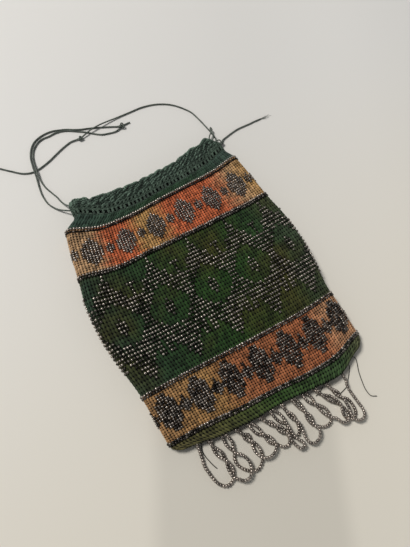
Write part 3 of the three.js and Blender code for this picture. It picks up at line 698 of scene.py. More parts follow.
# The row of stitches that each chart starts on, counted up from its band's foot
GREEN_START, UPPER_START, LOWER_START = 30, 15, 17
WAIST_ROW = 16.5


def charted(chart, top_row, rows, stitches, repeat, phase, foot, top):
    """The turn and height of every bead that a chart asks for, row by row from the top."""
    turns, heights = [], []
    for number, marks in enumerate(chart):
        row = top_row - number
        for stitch in range(stitches):
            off = min(stitch % repeat, repeat - stitch % repeat)
            if marks[off] == "x":
                turns.append(phase + stitch / stitches)
                heights.append(foot + (top - foot) * (row + 0.5) / rows)
    return np.array(turns), np.array(heights)


green_turns, green_heights = charted(
    GREEN_CHART, GREEN_START, GREEN_ROWS, GREEN_STITCHES, OVAL_STITCHES, OVAL_PHASE, GREEN_FOOT, GREEN_TOP
)
waist = GREEN_FOOT + (GREEN_TOP - GREEN_FOOT) * WAIST_ROW / GREEN_ROWS
oval_off = np.abs(((green_turns - OVAL_PHASE) * OVALS + 0.5) % 1 - 0.5) * OVAL_STITCHES
in_cluster = (oval_off < 1.5) & (np.abs(green_heights - waist) < 7)
upper_half = (green_heights > waist - 1) & ~in_cluster
lower_half = ~upper_half & ~in_cluster
print("green beads:", len(green_turns), "of which in clusters:", int(in_cluster.sum()))

# %% [markdown]
# The crowns above and below the ovals, and the clusters in them, are pieces of their own. The
# orange bands are worked finer, so their beads are a little smaller.


# %% The bead fields
def green_field(name, chosen):
    """The beads of the green chart that a mask picks, as one piece."""
    return stamp(name, bead, stitch_frames(green_turns[chosen], green_heights[chosen]))


upper_crowns = green_field("upper_crown_bead_rows", upper_half)
lower_crowns = green_field("lower_crown_bead_rows", lower_half)
clusters = green_field("oval_bead_clusters", in_cluster)
upper_frames = stitch_frames(*charted(
    UPPER_DIAMOND_CHART, UPPER_START, ORANGE_ROWS, UPPER_STITCHES, DIAMOND_STITCHES,
    UPPER_PHASE, GREEN_TOP, SEAM,
))
upper_tones = rng.uniform(0.3, 1.1, len(upper_frames))
upper_diamonds = stamp("upper_diamond_bead_rows", fine_bead, upper_frames, upper_tones)
lower_frames = stitch_frames(*charted(
    LOWER_DIAMOND_CHART, LOWER_START, ORANGE_ROWS, LOWER_STITCHES, DIAMOND_STITCHES,
    LOWER_PHASE, HEM_TOP, GREEN_FOOT,
))
lower_tones = rng.uniform(-0.1, 0.9, len(lower_frames))
lower_diamonds = stamp("lower_diamond_bead_rows", fine_bead, lower_frames, lower_tones)
print("fine beads:", len(upper_frames), "above,", len(lower_frames), "below")

# %% [markdown]
# A border of two bead rows lies over each change of yarn, one row on each side of it. The upper
# row is given lighter steel, as a painted highlight, and the lower row darker, as painted shade.

# %% The borders
borders = {}
for border_name, height, low, stitches, painted_shade_row_tones, painted_highlight_row_tones in (
    ("hem_border", HEM_TOP, -1.4, LOWER_STITCHES, (-0.2, 0.7), (-0.1, 1.1)),
    ("green_foot_border", GREEN_FOOT, -1.4, GREEN_STITCHES, (-0.2, 0.6), (0.2, 1.4)),
    ("green_top_border", GREEN_TOP, -1.4, GREEN_STITCHES, (-0.2, 0.6), (0.2, 1.4)),
    ("collar_border", SEAM, -1.9, UPPER_STITCHES, (-0.5, 0.3), (0.7, 2)),
):
    turns = np.arange(stitches) / stitches
    both = np.concatenate([turns, turns + 0.3 / stitches])
    heights = np.concatenate([np.full(stitches, height + low), np.full(stitches, height + low + 1.8)])
    # Painted highlight on the upper row and painted shade on the lower row, by their tones
    tones = np.concatenate([rng.uniform(*painted_shade_row_tones, stitches), rng.uniform(*painted_highlight_row_tones, stitches)])
    borders[border_name] = stamp(border_name + "_bead_rows", bead, stitch_frames(both, heights), tones)
    print(border_name, len(both), "beads")

# %% [markdown]
# ## The fringe
# Each loop of the fringe is a string of beads from one root on the hem to the next. The two strands
# at a root twist about each other a few times and part again at the loops' bellies, and every
# second loop lies on its neighbours. The points were chosen along the real strings: a pair's point
# holds where its middle lies, how many quarter turns it has made, and half the gap between the
# strands.

# %% Where the strings lie
FRINGE_PAIRS = [
    [(-57.5, -35.2, 0, 0)],
    [(-49.6, -36.6, 0, 1), (-49.8, -40.4, 1, 0), (-48.2, -46.1, 2, 1.55), (-46.5, -51.7, 3, 0),
     (-46.5, -57, 4, 1.3), (-47.1, -62, 5, 0)],
    [(-40.8, -38.6, 0, 1), (-39.9, -44.4, 0, 2), (-39.6, -50.5, 1, 0)],
    [(-32.2, -40.2, 0, 1.25), (-29.8, -44, 1, 0), (-28.2, -47, 2, 1.7), (-27, -50.2, 3, 0),
     (-26.4, -56.2, 4, 1.7), (-25.7, -62.1, 5, 0)],
    [(-23.6, -41.2, 0, 1), (-20.4, -47, 0, 1.7), (-18.4, -51.1, 1, 0), (-16.4, -55, 2, 1.55),
     (-14.6, -59.4, 3, 0)],
    [(-15, -41.7, 0, 1.4), (-12.2, -45.6, 1, 0), (-10.3, -47.8, 2, 0.95), (-8.3, -50.1, 3, 0),
     (-6.4, -54.3, 4, 1.45), (-4.3, -58.2, 5, 0)],
    [(-6.6, -42, 0, 1), (-3.4, -48, 0, 2), (-1.5, -53.6, 1, 0)],
    [(1.8, -42.2, 0, 1), (3, -47.1, 1, 0), (4.3, -51, 2, 1.2), (5.5, -55.1, 3, 0)],
    [(10.2, -42.8, 0, 1), (12.4, -47.7, 0, 1.3), (13.5, -52.6, 1, 0), (14, -57.2, 2, 1.55),
     (14.1, -62.8, 3, 0)],
    [(18.4, -43.7, 0, 1), (21.1, -48.6, 0, 1.9), (23.1, -53.4, 1, 0), (25.7, -59.1, 2, 1.65),
     (27.3, -65, 3, 0)],
    [(27.3, -45.2, 0, 1), (29.6, -49.3, 1, 0), (34, -55, 2, 1.45), (37.8, -61.6, 3, 0),
     (37.6, -66.9, 4, 1.55), (37, -71.6, 5, 0)],
    [(36.6, -46.5, 0, 1.25), (38.9, -51.2, 1, 0), (40.2, -54.8, 2, 1.05), (41.6, -58.9, 3, 0)],
    [(51, -47, 0, 0)],
]
FRINGE_BELLIES = [
    [(-57.9, -38.8), (-58.5, -43.1), (-59.4, -47.6), (-58.9, -52.3), (-58.1, -56.8), (-56.7, -60.4),
     (-54.4, -63), (-51.5, -64.1), (-49, -63.4)],
    [(-45.3, -63.9), (-43.2, -66.2), (-40.1, -67.1), (-37.6, -66.1), (-35.6, -63.5), (-34.6, -60.2),
     (-34.9, -57.1), (-36.6, -53.5)],
    [(-41.2, -53.1), (-41.7, -56.3), (-40.5, -59.6), (-38, -62.7), (-35.1, -65), (-31.7, -66.1),
     (-28.7, -64.9)],
    [(-23.1, -63.4), (-20.2, -63.7), (-17.3, -62.8), (-15.3, -61.3)],
    [(-12.7, -61.1), (-10.8, -63.5), (-8.2, -64.4), (-5.5, -63.3), (-4.4, -60.9)],
    [(-4.6, -62.1), (-3.6, -66.4), (-1.7, -69.8), (1.2, -69.8), (1.7, -67.4), (0.1, -65.1),
     (-1.2, -61.7), (-1.6, -57.7)],
    [(-2.6, -57.4), (-2.7, -60.5), (-1.2, -62.3), (2, -62.5), (4.5, -59.8)],
    [(5.8, -58.8), (5.1, -62.6), (4.4, -66.4), (5.4, -69.9), (7.8, -71.7), (11, -71.4),
     (14.3, -69.2), (15.5, -66)],
    [(16.4, -64.8), (18.7, -66.8), (22.2, -67.8), (25.6, -67.2)],
    [(29.5, -66.6), (30.7, -69.1), (32.3, -71.4), (34.7, -72.2)],
    [(39.1, -72.8), (41.9, -72.9), (44.5, -71.1), (45.5, -68.1), (45.6, -64.1), (44.4, -60.5)],
    [(41.6, -61.8), (41.3, -66.1), (40.2, -69.8), (40.2, -73.1), (42.6, -75.7), (45.8, -76.2),
     (48.5, -74.5), (49.5, -71), (49.2, -66.9), (48.9, -62.2), (48.7, -58.4), (48.9, -54.8),
     (50.4, -50.6)],
]
print("roots:", len(FRINGE_PAIRS), "loops:", len(FRINGE_BELLIES))

# %% [markdown]
# A strand starts at the hem, winds down its pair's twist, runs round the belly of its loop and
# climbs the next twist. Beads are strung along it at an even spacing.

# %% Strings of beads
LOW_STRING, HIGH_STRING = 1.15, 3.1
TWIST_MIDDLE, TWIST_LIFT = 2, 0.9
STRING_SPACING = 1.75


def hem_root(x):
    """Where a string leaves the foot of the hem."""
    level = eased(LEVELS, np.array([HEM_FOOT]))
    y = row_at(level[:, 4:], level[:, 0], level[:, 1], np.array([x]))[0]
    return np.array([x, y + 0.2, UNDERSIDE + level[0, 2] / 2])


def twisted_strand(number, hand):
    """One strand from its root down the twist; hand is 1 for the strand that goes on to the right."""
    pair = FRINGE_PAIRS[number]
    last = math.sin(pair[-1][2] * math.pi / 2)
    over = (1 if number % 2 else -1) * last
    line = []
    for step, (x, y, quarters, gap) in enumerate(pair):
        before, after = np.array(pair[max(step - 1, 0)][:2]), np.array(pair[min(step + 1, len(pair) - 1)][:2])
        way = (after - before) / max(np.linalg.norm(after - before), 1e-6)
        aside = -hand * last * gap * math.cos(quarters * math.pi / 2)
        lift = TWIST_LIFT * hand * over * math.sin(quarters * math.pi / 2)
        across = x - way[1] * aside
        line.append(np.array([across, y + way[0] * aside, TWIST_MIDDLE + lift]) if step else hem_root(across))
    return line


def fringe_line(number):
    """The whole path of one loop, from its left root to its right one."""
    level = HIGH_STRING if number % 2 else LOW_STRING
    belly = [np.array([x, y, level]) for x, y in FRINGE_BELLIES[number]]
    line = smooth_path([*twisted_strand(number, 1), *belly, *reversed(twisted_strand(number + 1, -1))])
    line[:, 2] = np.maximum(line[:, 2], LOW_STRING)
    return line


def string_frames(line):
    """A frame for each bead on a string, its hole along the string."""
    places = evenly(line, STRING_SPACING)
    frames = []
    for here, step in zip(places, np.gradient(places, axis=0)):
        basis = Vector(step).to_track_quat("X", "Z").to_matrix().to_4x4()
        spin = Matrix.Rotation(rng.uniform(0, 2 * math.pi), 4, "X")
        frames.append(Matrix.Translation(at(*here)) @ basis @ spin)
    return frames


fringe = []
for number in range(len(FRINGE_BELLIES)):
    line = fringe_line(number)
    frames = string_frames(line)
    tones = rng.uniform(0.5, 1.5, len(frames))
    fringe.append(stamp(f"fringe_string_{number + 1:02d}", fringe_bead, frames, tones))
    print(fringe[-1].name, round(path_length(line)), "mm")

# %% [markdown]
# ## The collar
# Above its plain rows the collar is openwork: a course of tall posts with dark slots between
# them, a bar, and a course of short slanting posts. Over the mouth's cloth lie three rows of plump
# stitches that lean far over, and the edge is a thick roll of yarn. Each is a tube of two-ply yarn
# that follows the bag's own form.

# %% Yarn round the mouth
POSTS = 86
yarn_section = outline("yarn_section", 0.7, 8, plies=2, groove=0.16)
post_section = outline("post_section", 0.95, 8, plies=2, groove=0.14)
puff_section = outline("puff_section", 0.95, 8, plies=2, groove=0.12)
edge_section = outline("edge_section", 1.05, 10, plies=2, groove=0.1)


def yarn_line(turn, height, depth):
    """A line of yarn on the bag's form, as points of the frame."""
    return metres(bag_points(turn, height, depth))


def course(height, depth, swing=0.0, waves=POSTS, lift=0.0):
    """A closed line of yarn round the mouth, that swings up and down and in and out in waves."""
    turn = np.arange(POSTS * 5) / (POSTS * 5)
    swell = np.sin(2 * math.pi * waves * turn)
    return yarn_line(turn, height + swing * swell, depth + lift * swell)


def slanting(count, low, high, lean, depth, bow, loose=0.06):
    """Short lines of yarn from one height to another, each leaning by a share of their spacing."""
    lines = []
    share = np.linspace(0, 1, 6)
    for number in range(count):
        turn = (number + rng.normal(0, loose) + lean * share) / count
        rise = low + (high - low) * share + rng.normal(0, 3 * loose)
        lines.append(yarn_line(turn, rise, depth + bow * np.sin(math.pi * share)))
    return lines


def plump(share):
    """A stitch thin at both ends and full in the middle."""
    return 0.2 + 0.8 * math.sin(math.pi * min(max(share, 0.04), 0.96)) ** 0.6


def lumpy(share):
    """A roll of yarn that swells and thins along its way."""
    return 1 + 0.16 * math.sin(2 * math.pi * 37 * share) + 0.08 * math.sin(2 * math.pi * 61 * share)


print("posts round the mouth:", POSTS)

# %% [markdown]
# From the foot up come a bar, the tall posts, two bars, the short posts and a bar, then the three
# rows of plump stitches and the roll at the edge.

# %% The lace
bars = [
    course(height, depth, swing, lift=0.2)
    for height, depth, swing in (
        (EYELET_FOOT, -0.6, 0.1), (EYELET_TOP + 0.3, -0.7, 0.15),
        (EYELET_TOP + 1.4, -0.6, 0.15), (LACE_FOOT, -0.7, 0.2),
    )
]
collar_pieces = [tubes("collar_bars", bars, yarn_section, lay=3.2, closed=True)]
for name, low, high, lean in (
    ("collar_tall_posts", EYELET_FOOT, EYELET_TOP + 0.3, 0.1),
    ("collar_short_posts", EYELET_TOP + 1.2, LACE_FOOT, 0.6),
):
    posts = slanting(POSTS, low, high, lean, -0.7, 0.2)
    collar_pieces.append(tubes(name, posts, post_section, lay=4))
for name, count, low, high, lean, bow in (
    ("collar_lower_puffs", 66, 139, 142.2, 1.6, 0.6),
    ("collar_middle_puffs", 63, 141.6, 144.6, 1.7, 0.6),
    ("collar_upper_puffs", 60, 144, 146.8, 1.7, 0.5),
):
    puffs = slanting(count, low, high, lean, -0.9, bow, 0.14)
    collar_pieces.append(tubes(name, puffs, puff_section, lay=5, thin=plump))
edge = course(MOUTH - 0.4, -1, 0.3, waves=23)
collar_pieces.append(tubes("collar_edge_roll", [edge], edge_section, lay=4, closed=True, thin=lumpy))
for piece in collar_pieces:
    print(piece.name, len(piece.data.polygons), "faces")

# %% [markdown]
# ## Loose threads
# A few ends of dark thread hang from the hem where the fringe was sewn on.

# %% Thread ends
thread_section = outline("thread_section", 0.28, 6)
THREAD_REST = 0.3
THREADS = {
    "hem_thread_curved": [
        (59, -42.6, 1.6), (60, -44.5, 0.9), (57, -48.3, 0.4), (53.4, -51.7), (50.2, -54.6), (46.1, -55.7),
        (43, -56.2),
    ],
    "hem_thread_long": [
        (66, -40.6, 1.4), (67.5, -42.2, 0.8), (66.6, -45.7, 0.4), (63.9, -51.3), (62, -57.2),
        (60.7, -63.4), (61.5, -68), (65.1, -70.4),
    ],
    "hem_thread_short": [
        (36, -44.6, 1.8), (35.5, -45.7, 1.2), (32.3, -47.7, 0.4), (28.6, -49), (26.8, -49.1),
    ],
    "hem_thread_left": [
        (-54.4, -35, 1.6), (-54.7, -36.2, 1), (-56.1, -39.3, 0.4), (-56.2, -43.1), (-55.2, -47.5),
        (-54.2, -50.7), (-53.3, -52.8),
    ],
}
threads = {}
for thread_name, route in THREADS.items():
    line = metres(smooth_path(laid(route, THREAD_REST), step=0.8))
    threads[thread_name] = (tubes(thread_name, [line], thread_section), line)
    print(thread_name, round(path_length(line) * 1000, 1), "mm")

# %% [markdown]
# ## Materials
# Two helpers keep the node graphs short: one adds a node with its inputs set or linked, and one
# does a sum. Colours are picked as a screen shows them and turned into the linear values that
# Blender mixes.


# %% Node helpers
def linear(red, green, blue):
    """A screen colour from 0 to 255, as the linear colour that a shader takes."""
    values = [v / 255 for v in (red, green, blue)]
    return (*(v / 12.92 if v <= 0.04045 else ((v + 0.055) / 1.055) ** 2.4 for v in values), 1)


def add(tree, kind, inputs=None, **settings):
    """Adds a node, with its settings, and its inputs set to a value or linked to a socket."""
    made = tree.nodes.new(kind)
    for name, value in settings.items():
        setattr(made, name, value)
    for key, value in (inputs or {}).items():
        if isinstance(value, bpy.types.NodeSocket):
            tree.links.new(value, made.inputs[key])
        else:
            made.inputs[key].default_value = value
    return made


def calc(tree, operation, first, second=0.0, third=0.0):
    """One math node."""
    return add(tree, "ShaderNodeMath", {0: first, 1: second, 2: third}, operation=operation).outputs[0]


def fade(tree, value, start, end, low=0.0, high=1.0):
    """A smooth step from low to high as the value goes from start to end."""
    inputs = {"Value": value, "From Min": start, "From Max": end, "To Min": low, "To Max": high}
    return add(tree, "ShaderNodeMapRange", inputs, interpolation_type="SMOOTHSTEP").outputs[0]


def blend(tree, factor, first, second, kind="MIX"):
    """Mixes two colours."""
    mixer = add(tree, "ShaderNodeMix", data_type="RGBA", blend_type=kind)
    for key, value in ((0, factor), (6, first), (7, second)):
        if isinstance(value, bpy.types.NodeSocket):
            tree.links.new(value, mixer.inputs[key])
        else:
            mixer.inputs[key].default_value = value
    return mixer.outputs[2]


print("node helpers: add, calc, fade, blend")

# %% [markdown]
# Yarn and old steel are never even. Noise gives them fibres and grime, and a value of its own for
# each stitch keeps the stitches from looking alike. What a material works out then goes to the
# shader by its colour, its roughness and its bump.


# %% Noise and finish
def noise(tree, scale, detail):
    """A noise that stays with the object, finer as its scale grows."""
    spot = add(tree, "ShaderNodeTexCoord").outputs["Object"]
    return add(tree, "ShaderNodeTexNoise", {"Vector": spot, "Scale": scale, "Detail": detail}).outputs[0]


def own_value(tree, place, shift):
    """A value of its own for each whole cell of a place, with the cells moved by a shift."""
    moved = add(tree, "ShaderNodeVectorMath", {0: place, 1: (shift, shift, 0)}, operation="ADD").outputs[0]
    cell = add(tree, "ShaderNodeVectorMath", {0: moved}, operation="FLOOR").outputs[0]
    return add(tree, "ShaderNodeTexWhiteNoise", {"Vector": cell}, noise_dimensions="2D").outputs[0]


def dress(tree, shader, colour, roughness, height=None, distance=0.0, strength=0.0):
    """Links a colour and a roughness to the shader, and a bump where there is a height."""
    tree.links.new(colour, shader.inputs["Base Color"])
    tree.links.new(roughness, shader.inputs["Roughness"])
    if height is not None:
        bump = add(tree, "ShaderNodeBump", {"Height": height, "Distance": distance, "Strength": strength})
        tree.links.new(bump.outputs[0], shader.inputs["Normal"])


def material(name, **constants):
    """A material with one Principled shader, and its fixed values set on the shader's sockets."""
    made = bpy.data.materials.new(name)
    made.use_nodes = True
    shader = made.node_tree.nodes["Principled BSDF"]
    for key, value in constants.items():
        shader.inputs[key.replace("_", " ")].default_value = value
    return made, made.node_tree, shader


print("finish helpers: noise, own_value, dress, material")

# %% [markdown]
# The crochet group draws what the grid is too coarse for. Each stitch is a V of two plied legs,
# with holes at its corners, where one looks through the cloth. It gives a height for the bump and
# a painted shade that darkens the colour in the holes and in the grooves at the stitches' sides.
# A fibre noise roughens the legs, and paints them darker where their bump sinks.

# %% The crochet group
crochet = bpy.data.node_groups.new("crochet_stitch", "ShaderNodeTree")
crochet.interface.new_socket("Gap", in_out="INPUT", socket_type="NodeSocketFloat")
crochet.interface.new_socket("Height", in_out="OUTPUT", socket_type="NodeSocketFloat")
crochet.interface.new_socket("Shade", in_out="OUTPUT", socket_type="NodeSocketFloat")
given = add(crochet, "NodeGroupInput")
count_uv = add(crochet, "ShaderNodeUVMap", uv_map="stitches").outputs[0]
count = add(crochet, "ShaderNodeSeparateXYZ", {0: count_uv})


def work(operation, *values):
    """A sum inside the group."""
    return calc(crochet, operation, *values)


side = work("ABSOLUTE", work("SUBTRACT", work("FRACT", count.outputs[0]), 0.5))
tall = work("FRACT", count.outputs[1])
off_leg = work("ABSOLUTE", work("SUBTRACT", side, work("MULTIPLY_ADD", tall, 0.2, 0.1)))
leg = fade(crochet, off_leg, 0.2, 0.02)
twist = work("SINE", work("MULTIPLY_ADD", tall, 15, work("MULTIPLY", side, 22)))
plied = work("MULTIPLY_ADD", work("MULTIPLY", twist, leg), 0.22, leg)
fibre = noise(crochet, 2200, 3)
off_middle = work("ABSOLUTE", work("SUBTRACT", tall, 0.5))
hole_edge = work("MULTIPLY_ADD", own_value(crochet, count_uv, 0.5), 0.16, 0.47)
corner = fade(crochet, work("SUBTRACT", work("ADD", side, off_middle), hole_edge), 0, 0.22)
# Painted shade: darker in the holes at the corners and in the grooves at the stitches' sides
dark = work("MAXIMUM", corner, work("MULTIPLY", fade(crochet, side, 0.3, 0.5), 0.35))
shade = work("SUBTRACT", 1, work("MULTIPLY", dark, given.outputs[0]))
mottle = work("MULTIPLY_ADD", own_value(crochet, count_uv, 0), 0.9, 0.6)
# The fibres' tone, partly painted shade: darker where the fibre bump sinks
fibre_tone_and_shade = work("MULTIPLY_ADD", fibre, 0.8, 0.6)
add(crochet, "NodeGroupOutput", {
    "Height": work("SUBTRACT", work("MULTIPLY_ADD", fibre, 0.5, plied), corner),
    "Shade": work("MULTIPLY", work("MULTIPLY", shade, mottle), fibre_tone_and_shade),
})
print("crochet group nodes:", len(crochet.nodes))

# %% [markdown]
# Space-dyed yarn changes colour every few centimetres along its length, so the cloth shows
# blocks of colour with ragged sides, a little different from row to row. A ramp holds the colours
# in order round the bag, and each row reads it a little further on.


# %% Space-dyed yarn
def space_dyed(tree, stops, ragged):
    """The yarn's colour from a ramp of (share of the way round, colour)."""
    way = add(tree, "ShaderNodeSeparateXYZ", {0: add(tree, "ShaderNodeUVMap", uv_map="dye").outputs[0]})
    rows = add(tree, "ShaderNodeSeparateXYZ", {0: add(tree, "ShaderNodeUVMap", uv_map="stitches").outputs[0]})
    row = calc(tree, "FLOOR", rows.outputs[1])
    own = add(tree, "ShaderNodeTexWhiteNoise", {"W": row}, noise_dimensions="1D").outputs[0]
    drift = calc(tree, "SUBTRACT", noise(tree, 45, 2), 0.5)
    wander = calc(tree, "MULTIPLY_ADD", calc(tree, "SUBTRACT", own, 0.5), 0.3, drift)
    turn = calc(tree, "FRACT", calc(tree, "MULTIPLY_ADD", wander, ragged, way.outputs[0]))
    ramp = add(tree, "ShaderNodeValToRGB", {0: turn})
    elements = ramp.color_ramp.elements
    while len(elements) < len(stops):
        elements.new(0.5)
    for element, (place, colour) in zip(elements, stops):
        element.position = place
        element.color = linear(*colour)
    return ramp.outputs[0]


def yarn_material(name, stops, ragged=0.035, gap=0.95, patches=None):
    """Crocheted yarn: space-dyed colour, painted shade in the gaps, plied legs as bump, and a soft sheen."""
    made, tree, shader = material(name, Sheen_Weight=0.06, Sheen_Roughness=0.5, Specular_IOR_Level=0.12)
    colour = space_dyed(tree, stops, ragged)
    if patches:
        colour = blend(tree, fade(tree, noise(tree, 30, 3), 0.42, 0.74, 0, 0.8), colour, linear(*patches))
    stitch = add(tree, "ShaderNodeGroup", node_tree=crochet)
    stitch.inputs["Gap"].default_value = gap
    shaded = blend(tree, 1.0, colour, stitch.outputs["Shade"], kind="MULTIPLY")
    height = stitch.outputs["Height"]
    dress(tree, shader, shaded, fade(tree, height, 0, 1.4, 0.95, 0.75), height, 0.0003, 0.7)
    return made


print("yarns take their stitches from:", crochet.name)

# %% [markdown]
# Each yarn's colours follow the photograph from the left fold at 0, over the front, to the right
# fold at a half. The back can't be seen, so there the colours run on in the same order.

# %% The bag's yarns
TAN, MUSTARD, RED_ORANGE = (166, 133, 98), (164, 127, 78), (174, 92, 58)
upper_yarn = yarn_material("upper_orange_yarn", [
    (0.0, TAN), (0.055, TAN), (0.09, RED_ORANGE), (0.14, RED_ORANGE), (0.175, MUSTARD), (0.205, MUSTARD),
    (0.245, RED_ORANGE), (0.38, RED_ORANGE), (0.435, TAN), (0.49, MUSTARD), (0.55, MUSTARD),
    (0.6, RED_ORANGE), (0.69, RED_ORANGE), (0.74, MUSTARD), (0.79, MUSTARD), (0.84, RED_ORANGE),
    (0.92, RED_ORANGE), (0.97, TAN),
], ragged=0.05)
lower_yarn = yarn_material("lower_orange_yarn", [
    (0.0, (152, 116, 78)), (0.14, (152, 116, 72)), (0.2, (150, 95, 62)), (0.4, (152, 92, 60)),
    (0.45, (174, 130, 96)), (0.55, (174, 132, 98)), (0.6, (150, 92, 60)), (0.74, (150, 92, 60)),
    (0.8, (150, 114, 74)), (0.99, (152, 116, 78)),
])
green_yarn = yarn_material("green_yarn", [
    (0.0, (42, 58, 44)), (0.08, (34, 54, 32)), (0.2, (34, 58, 25)), (0.3, (35, 62, 23)),
    (0.4, (37, 60, 30)), (0.5, (56, 66, 50)), (0.62, (34, 58, 30)), (0.8, (35, 62, 25)),
    (0.95, (40, 58, 40)),
], patches=(60, 56, 24))
hem_yarn = yarn_material("hem_yarn", [
    (0.0, (88, 82, 52)), (0.12, (76, 78, 44)), (0.25, (52, 76, 36)), (0.42, (56, 76, 46)),
    (0.5, (86, 86, 62)), (0.75, (56, 74, 38)), (0.99, (88, 82, 52)),
])
collar_yarn = yarn_material("collar_yarn", [
    (0.0, (50, 66, 58)), (0.2, (42, 64, 44)), (0.35, (40, 62, 44)), (0.5, (54, 68, 62)),
    (0.75, (42, 62, 46)), (0.99, (50, 66, 58)),
], gap=0.6)
# The cloth under the plump stitches is painted darker: painted shade in the gaps between them
painted_shade_collar_yarn = yarn_material("collar_yarn_painted_shade", [(0.0, (34, 46, 38)), (0.99, (36, 48, 40))])
print("crocheted yarns:", upper_yarn.name, lower_yarn.name, green_yarn.name, hem_yarn.name, collar_yarn.name)

# %% [markdown]
# The lace of the collar, the cords and the threads are round yarns with no grid of stitches. They
# share one finish: fine fibres along the surface, a tone that wanders at random, a painted shade
# that darkens the colour where the fibres part, and a dull sheen.


# %% Round yarns
def round_yarn(name, light, dark, scale):
    """A yarn's light and dark tones, and how fine its fibres are."""
    made, tree, shader = material(name, Sheen_Weight=0.08, Sheen_Roughness=0.45, Specular_IOR_Level=0.25)
    fibre = noise(tree, scale, 4)
    # Painted shade: the fibre noise that makes the bump also darkens the colour where it sinks; the coarser
    # noise varies the tone at random
    tone = calc(tree, "MULTIPLY_ADD", noise(tree, 260, 2), 0.6, calc(tree, "MULTIPLY", fibre, 0.6))
    colour = blend(tree, fade(tree, tone, 0.35, 0.85), linear(*dark), linear(*light))
    dress(tree, shader, colour, fade(tree, fibre, 0.2, 0.8, 0.9, 0.65), fibre, 0.0002, 0.6)
    return made


lace_yarn = round_yarn("lace_yarn", (104, 126, 110), (30, 44, 36), 1500)
post_yarn = round_yarn("post_yarn", (74, 92, 78), (24, 36, 28), 1500)
cord_yarn = round_yarn("cord_yarn", (104, 110, 102), (58, 66, 60), 1800)
thread_yarn = round_yarn("thread_yarn", (52, 52, 44), (24, 26, 22), 3000)
print("round yarns:", lace_yarn.name, post_yarn.name, cord_yarn.name, thread_yarn.name)

# %% [markdown]
# The steel has gone dark with age. Each bead has its own tone, from almost black to grey, and
# its cut faces stay smooth enough to catch the light as a bright point.

# %% Old steel
steel, tree, shader = material("old_steel_beads", Metallic=0.9)
tone = add(tree, "ShaderNodeAttribute", attribute_name="tone").outputs["Fac"]
grime = noise(tree, 900, 2)
aged = calc(tree, "MULTIPLY_ADD", grime, 0.4, calc(tree, "MULTIPLY", tone, 0.7))
colour = blend(tree, fade(tree, aged, 0.1, 1.2), linear(38, 35, 33), linear(170, 160, 150))
dress(tree, shader, colour, fade(tree, grime, 0.3, 0.8, 0.22, 0.42))
print("beads of:", steel.name)

# %% [markdown]
# Each piece gets its finish. Nothing on the bag moves on its own, so all of it rides on the one
# root body.

# %% Materials onto pieces
strand_pieces = [piece for piece, line, leaves in strands.values()]
thread_pieces = [piece for piece, line in threads.values()]
bead_pieces = [upper_crowns, lower_crowns, clusters, upper_diamonds, lower_diamonds]
knots = [tie_knot, overhand_knot, end_knot, hitch_knot]
FINISHES = (
    ("green_yarn", green_yarn, [green_cloth]),
    ("red_orange_yarn", upper_yarn, [upper_cloth]),
    ("mustard_yarn", lower_yarn, [lower_cloth]),
    ("hem_yarn", hem_yarn, [hem_cloth]),
    ("steel_beads", steel, [*bead_pieces, *borders.values(), *fringe]),
    ("drawstring_cord", cord_yarn, [*knots, *strand_pieces, frayed_end, hitch_ring]),
    ("collar_yarn", collar_yarn, [neck_cloth]),
    ("collar_yarn", painted_shade_collar_yarn, [mouth_cloth]),
    ("collar_yarn", post_yarn, collar_pieces[:3]),
    ("collar_yarn", lace_yarn, collar_pieces[3:]),
    ("hem_yarn", thread_yarn, thread_pieces),
)
for slot, finish, pieces in FINISHES:
    for piece in pieces:
        piece.data.materials.append(finish)
        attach(piece, "root")
print("pieces dressed:", sum(len(pieces) for slot, finish, pieces in FINISHES))

# %% [markdown]
# ## What stands for what
# Every solid of the model is hidden behind the pieces that stand for it.

# %% Replacements
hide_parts("green_band")
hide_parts("upper_orange_band")
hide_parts("lower_orange_band")
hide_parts("hem_band")
for piece in (neck_cloth, mouth_cloth, *collar_pieces):
    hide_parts("collar")
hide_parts("upper_crown_beads")
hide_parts("lower_crown_beads")
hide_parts("upper_diamond_beads")
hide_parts("lower_diamond_beads")
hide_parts(*(f"oval_cluster_{number:02d}" for number in range(1, 11)))
for border_name, piece in borders.items():
    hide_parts(border_name + "_beads")
for number, piece in enumerate(fringe):
    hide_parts(f"fringe_loop_{number + 1:02d}")
for strand_name, node in (
    ("left_inner_strand", "left_drawstring"), ("left_outer_strand", "left_drawstring"),
    ("right_long_strand", "right_drawstring"), ("right_short_strand", "right_drawstring"),
    ("right_bight_strand", "right_bight"),
):
    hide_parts(node)
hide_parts("left_tie")
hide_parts("right_overhand")
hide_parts("right_end_knot")
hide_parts("right_hitch")
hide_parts("right_hitch")
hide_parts("right_drawstring")
print("solids stood for:", len(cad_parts))

# %% [markdown]
# The strands are free cords and the bands are sheets of cloth. Each strand is listed with how its
# far end finishes and the pieces that go where it goes.

# %% Soft goods
bight_piece = strands["right_bight_strand"][0]
for strand_name, far_end, knots in (
    ("left_inner_strand", "knot", [tie_knot]),
    ("left_outer_strand", "knot", []),
    ("right_long_strand", "knot", [overhand_knot, end_knot]),
    ("right_short_strand", "bare", [hitch_knot, hitch_ring, frayed_end, bight_piece]),
):
    piece, line, leaves = strands[strand_name]

# %% [markdown]
# ## The table and the light
# The bag lies on a plain off-white table. Below the bag a soft strip of it is a little darker,
# where something out of the picture keeps the light off, so that shade is painted into its colour,
# and across to the right the table is painted a little lighter, as painted light.

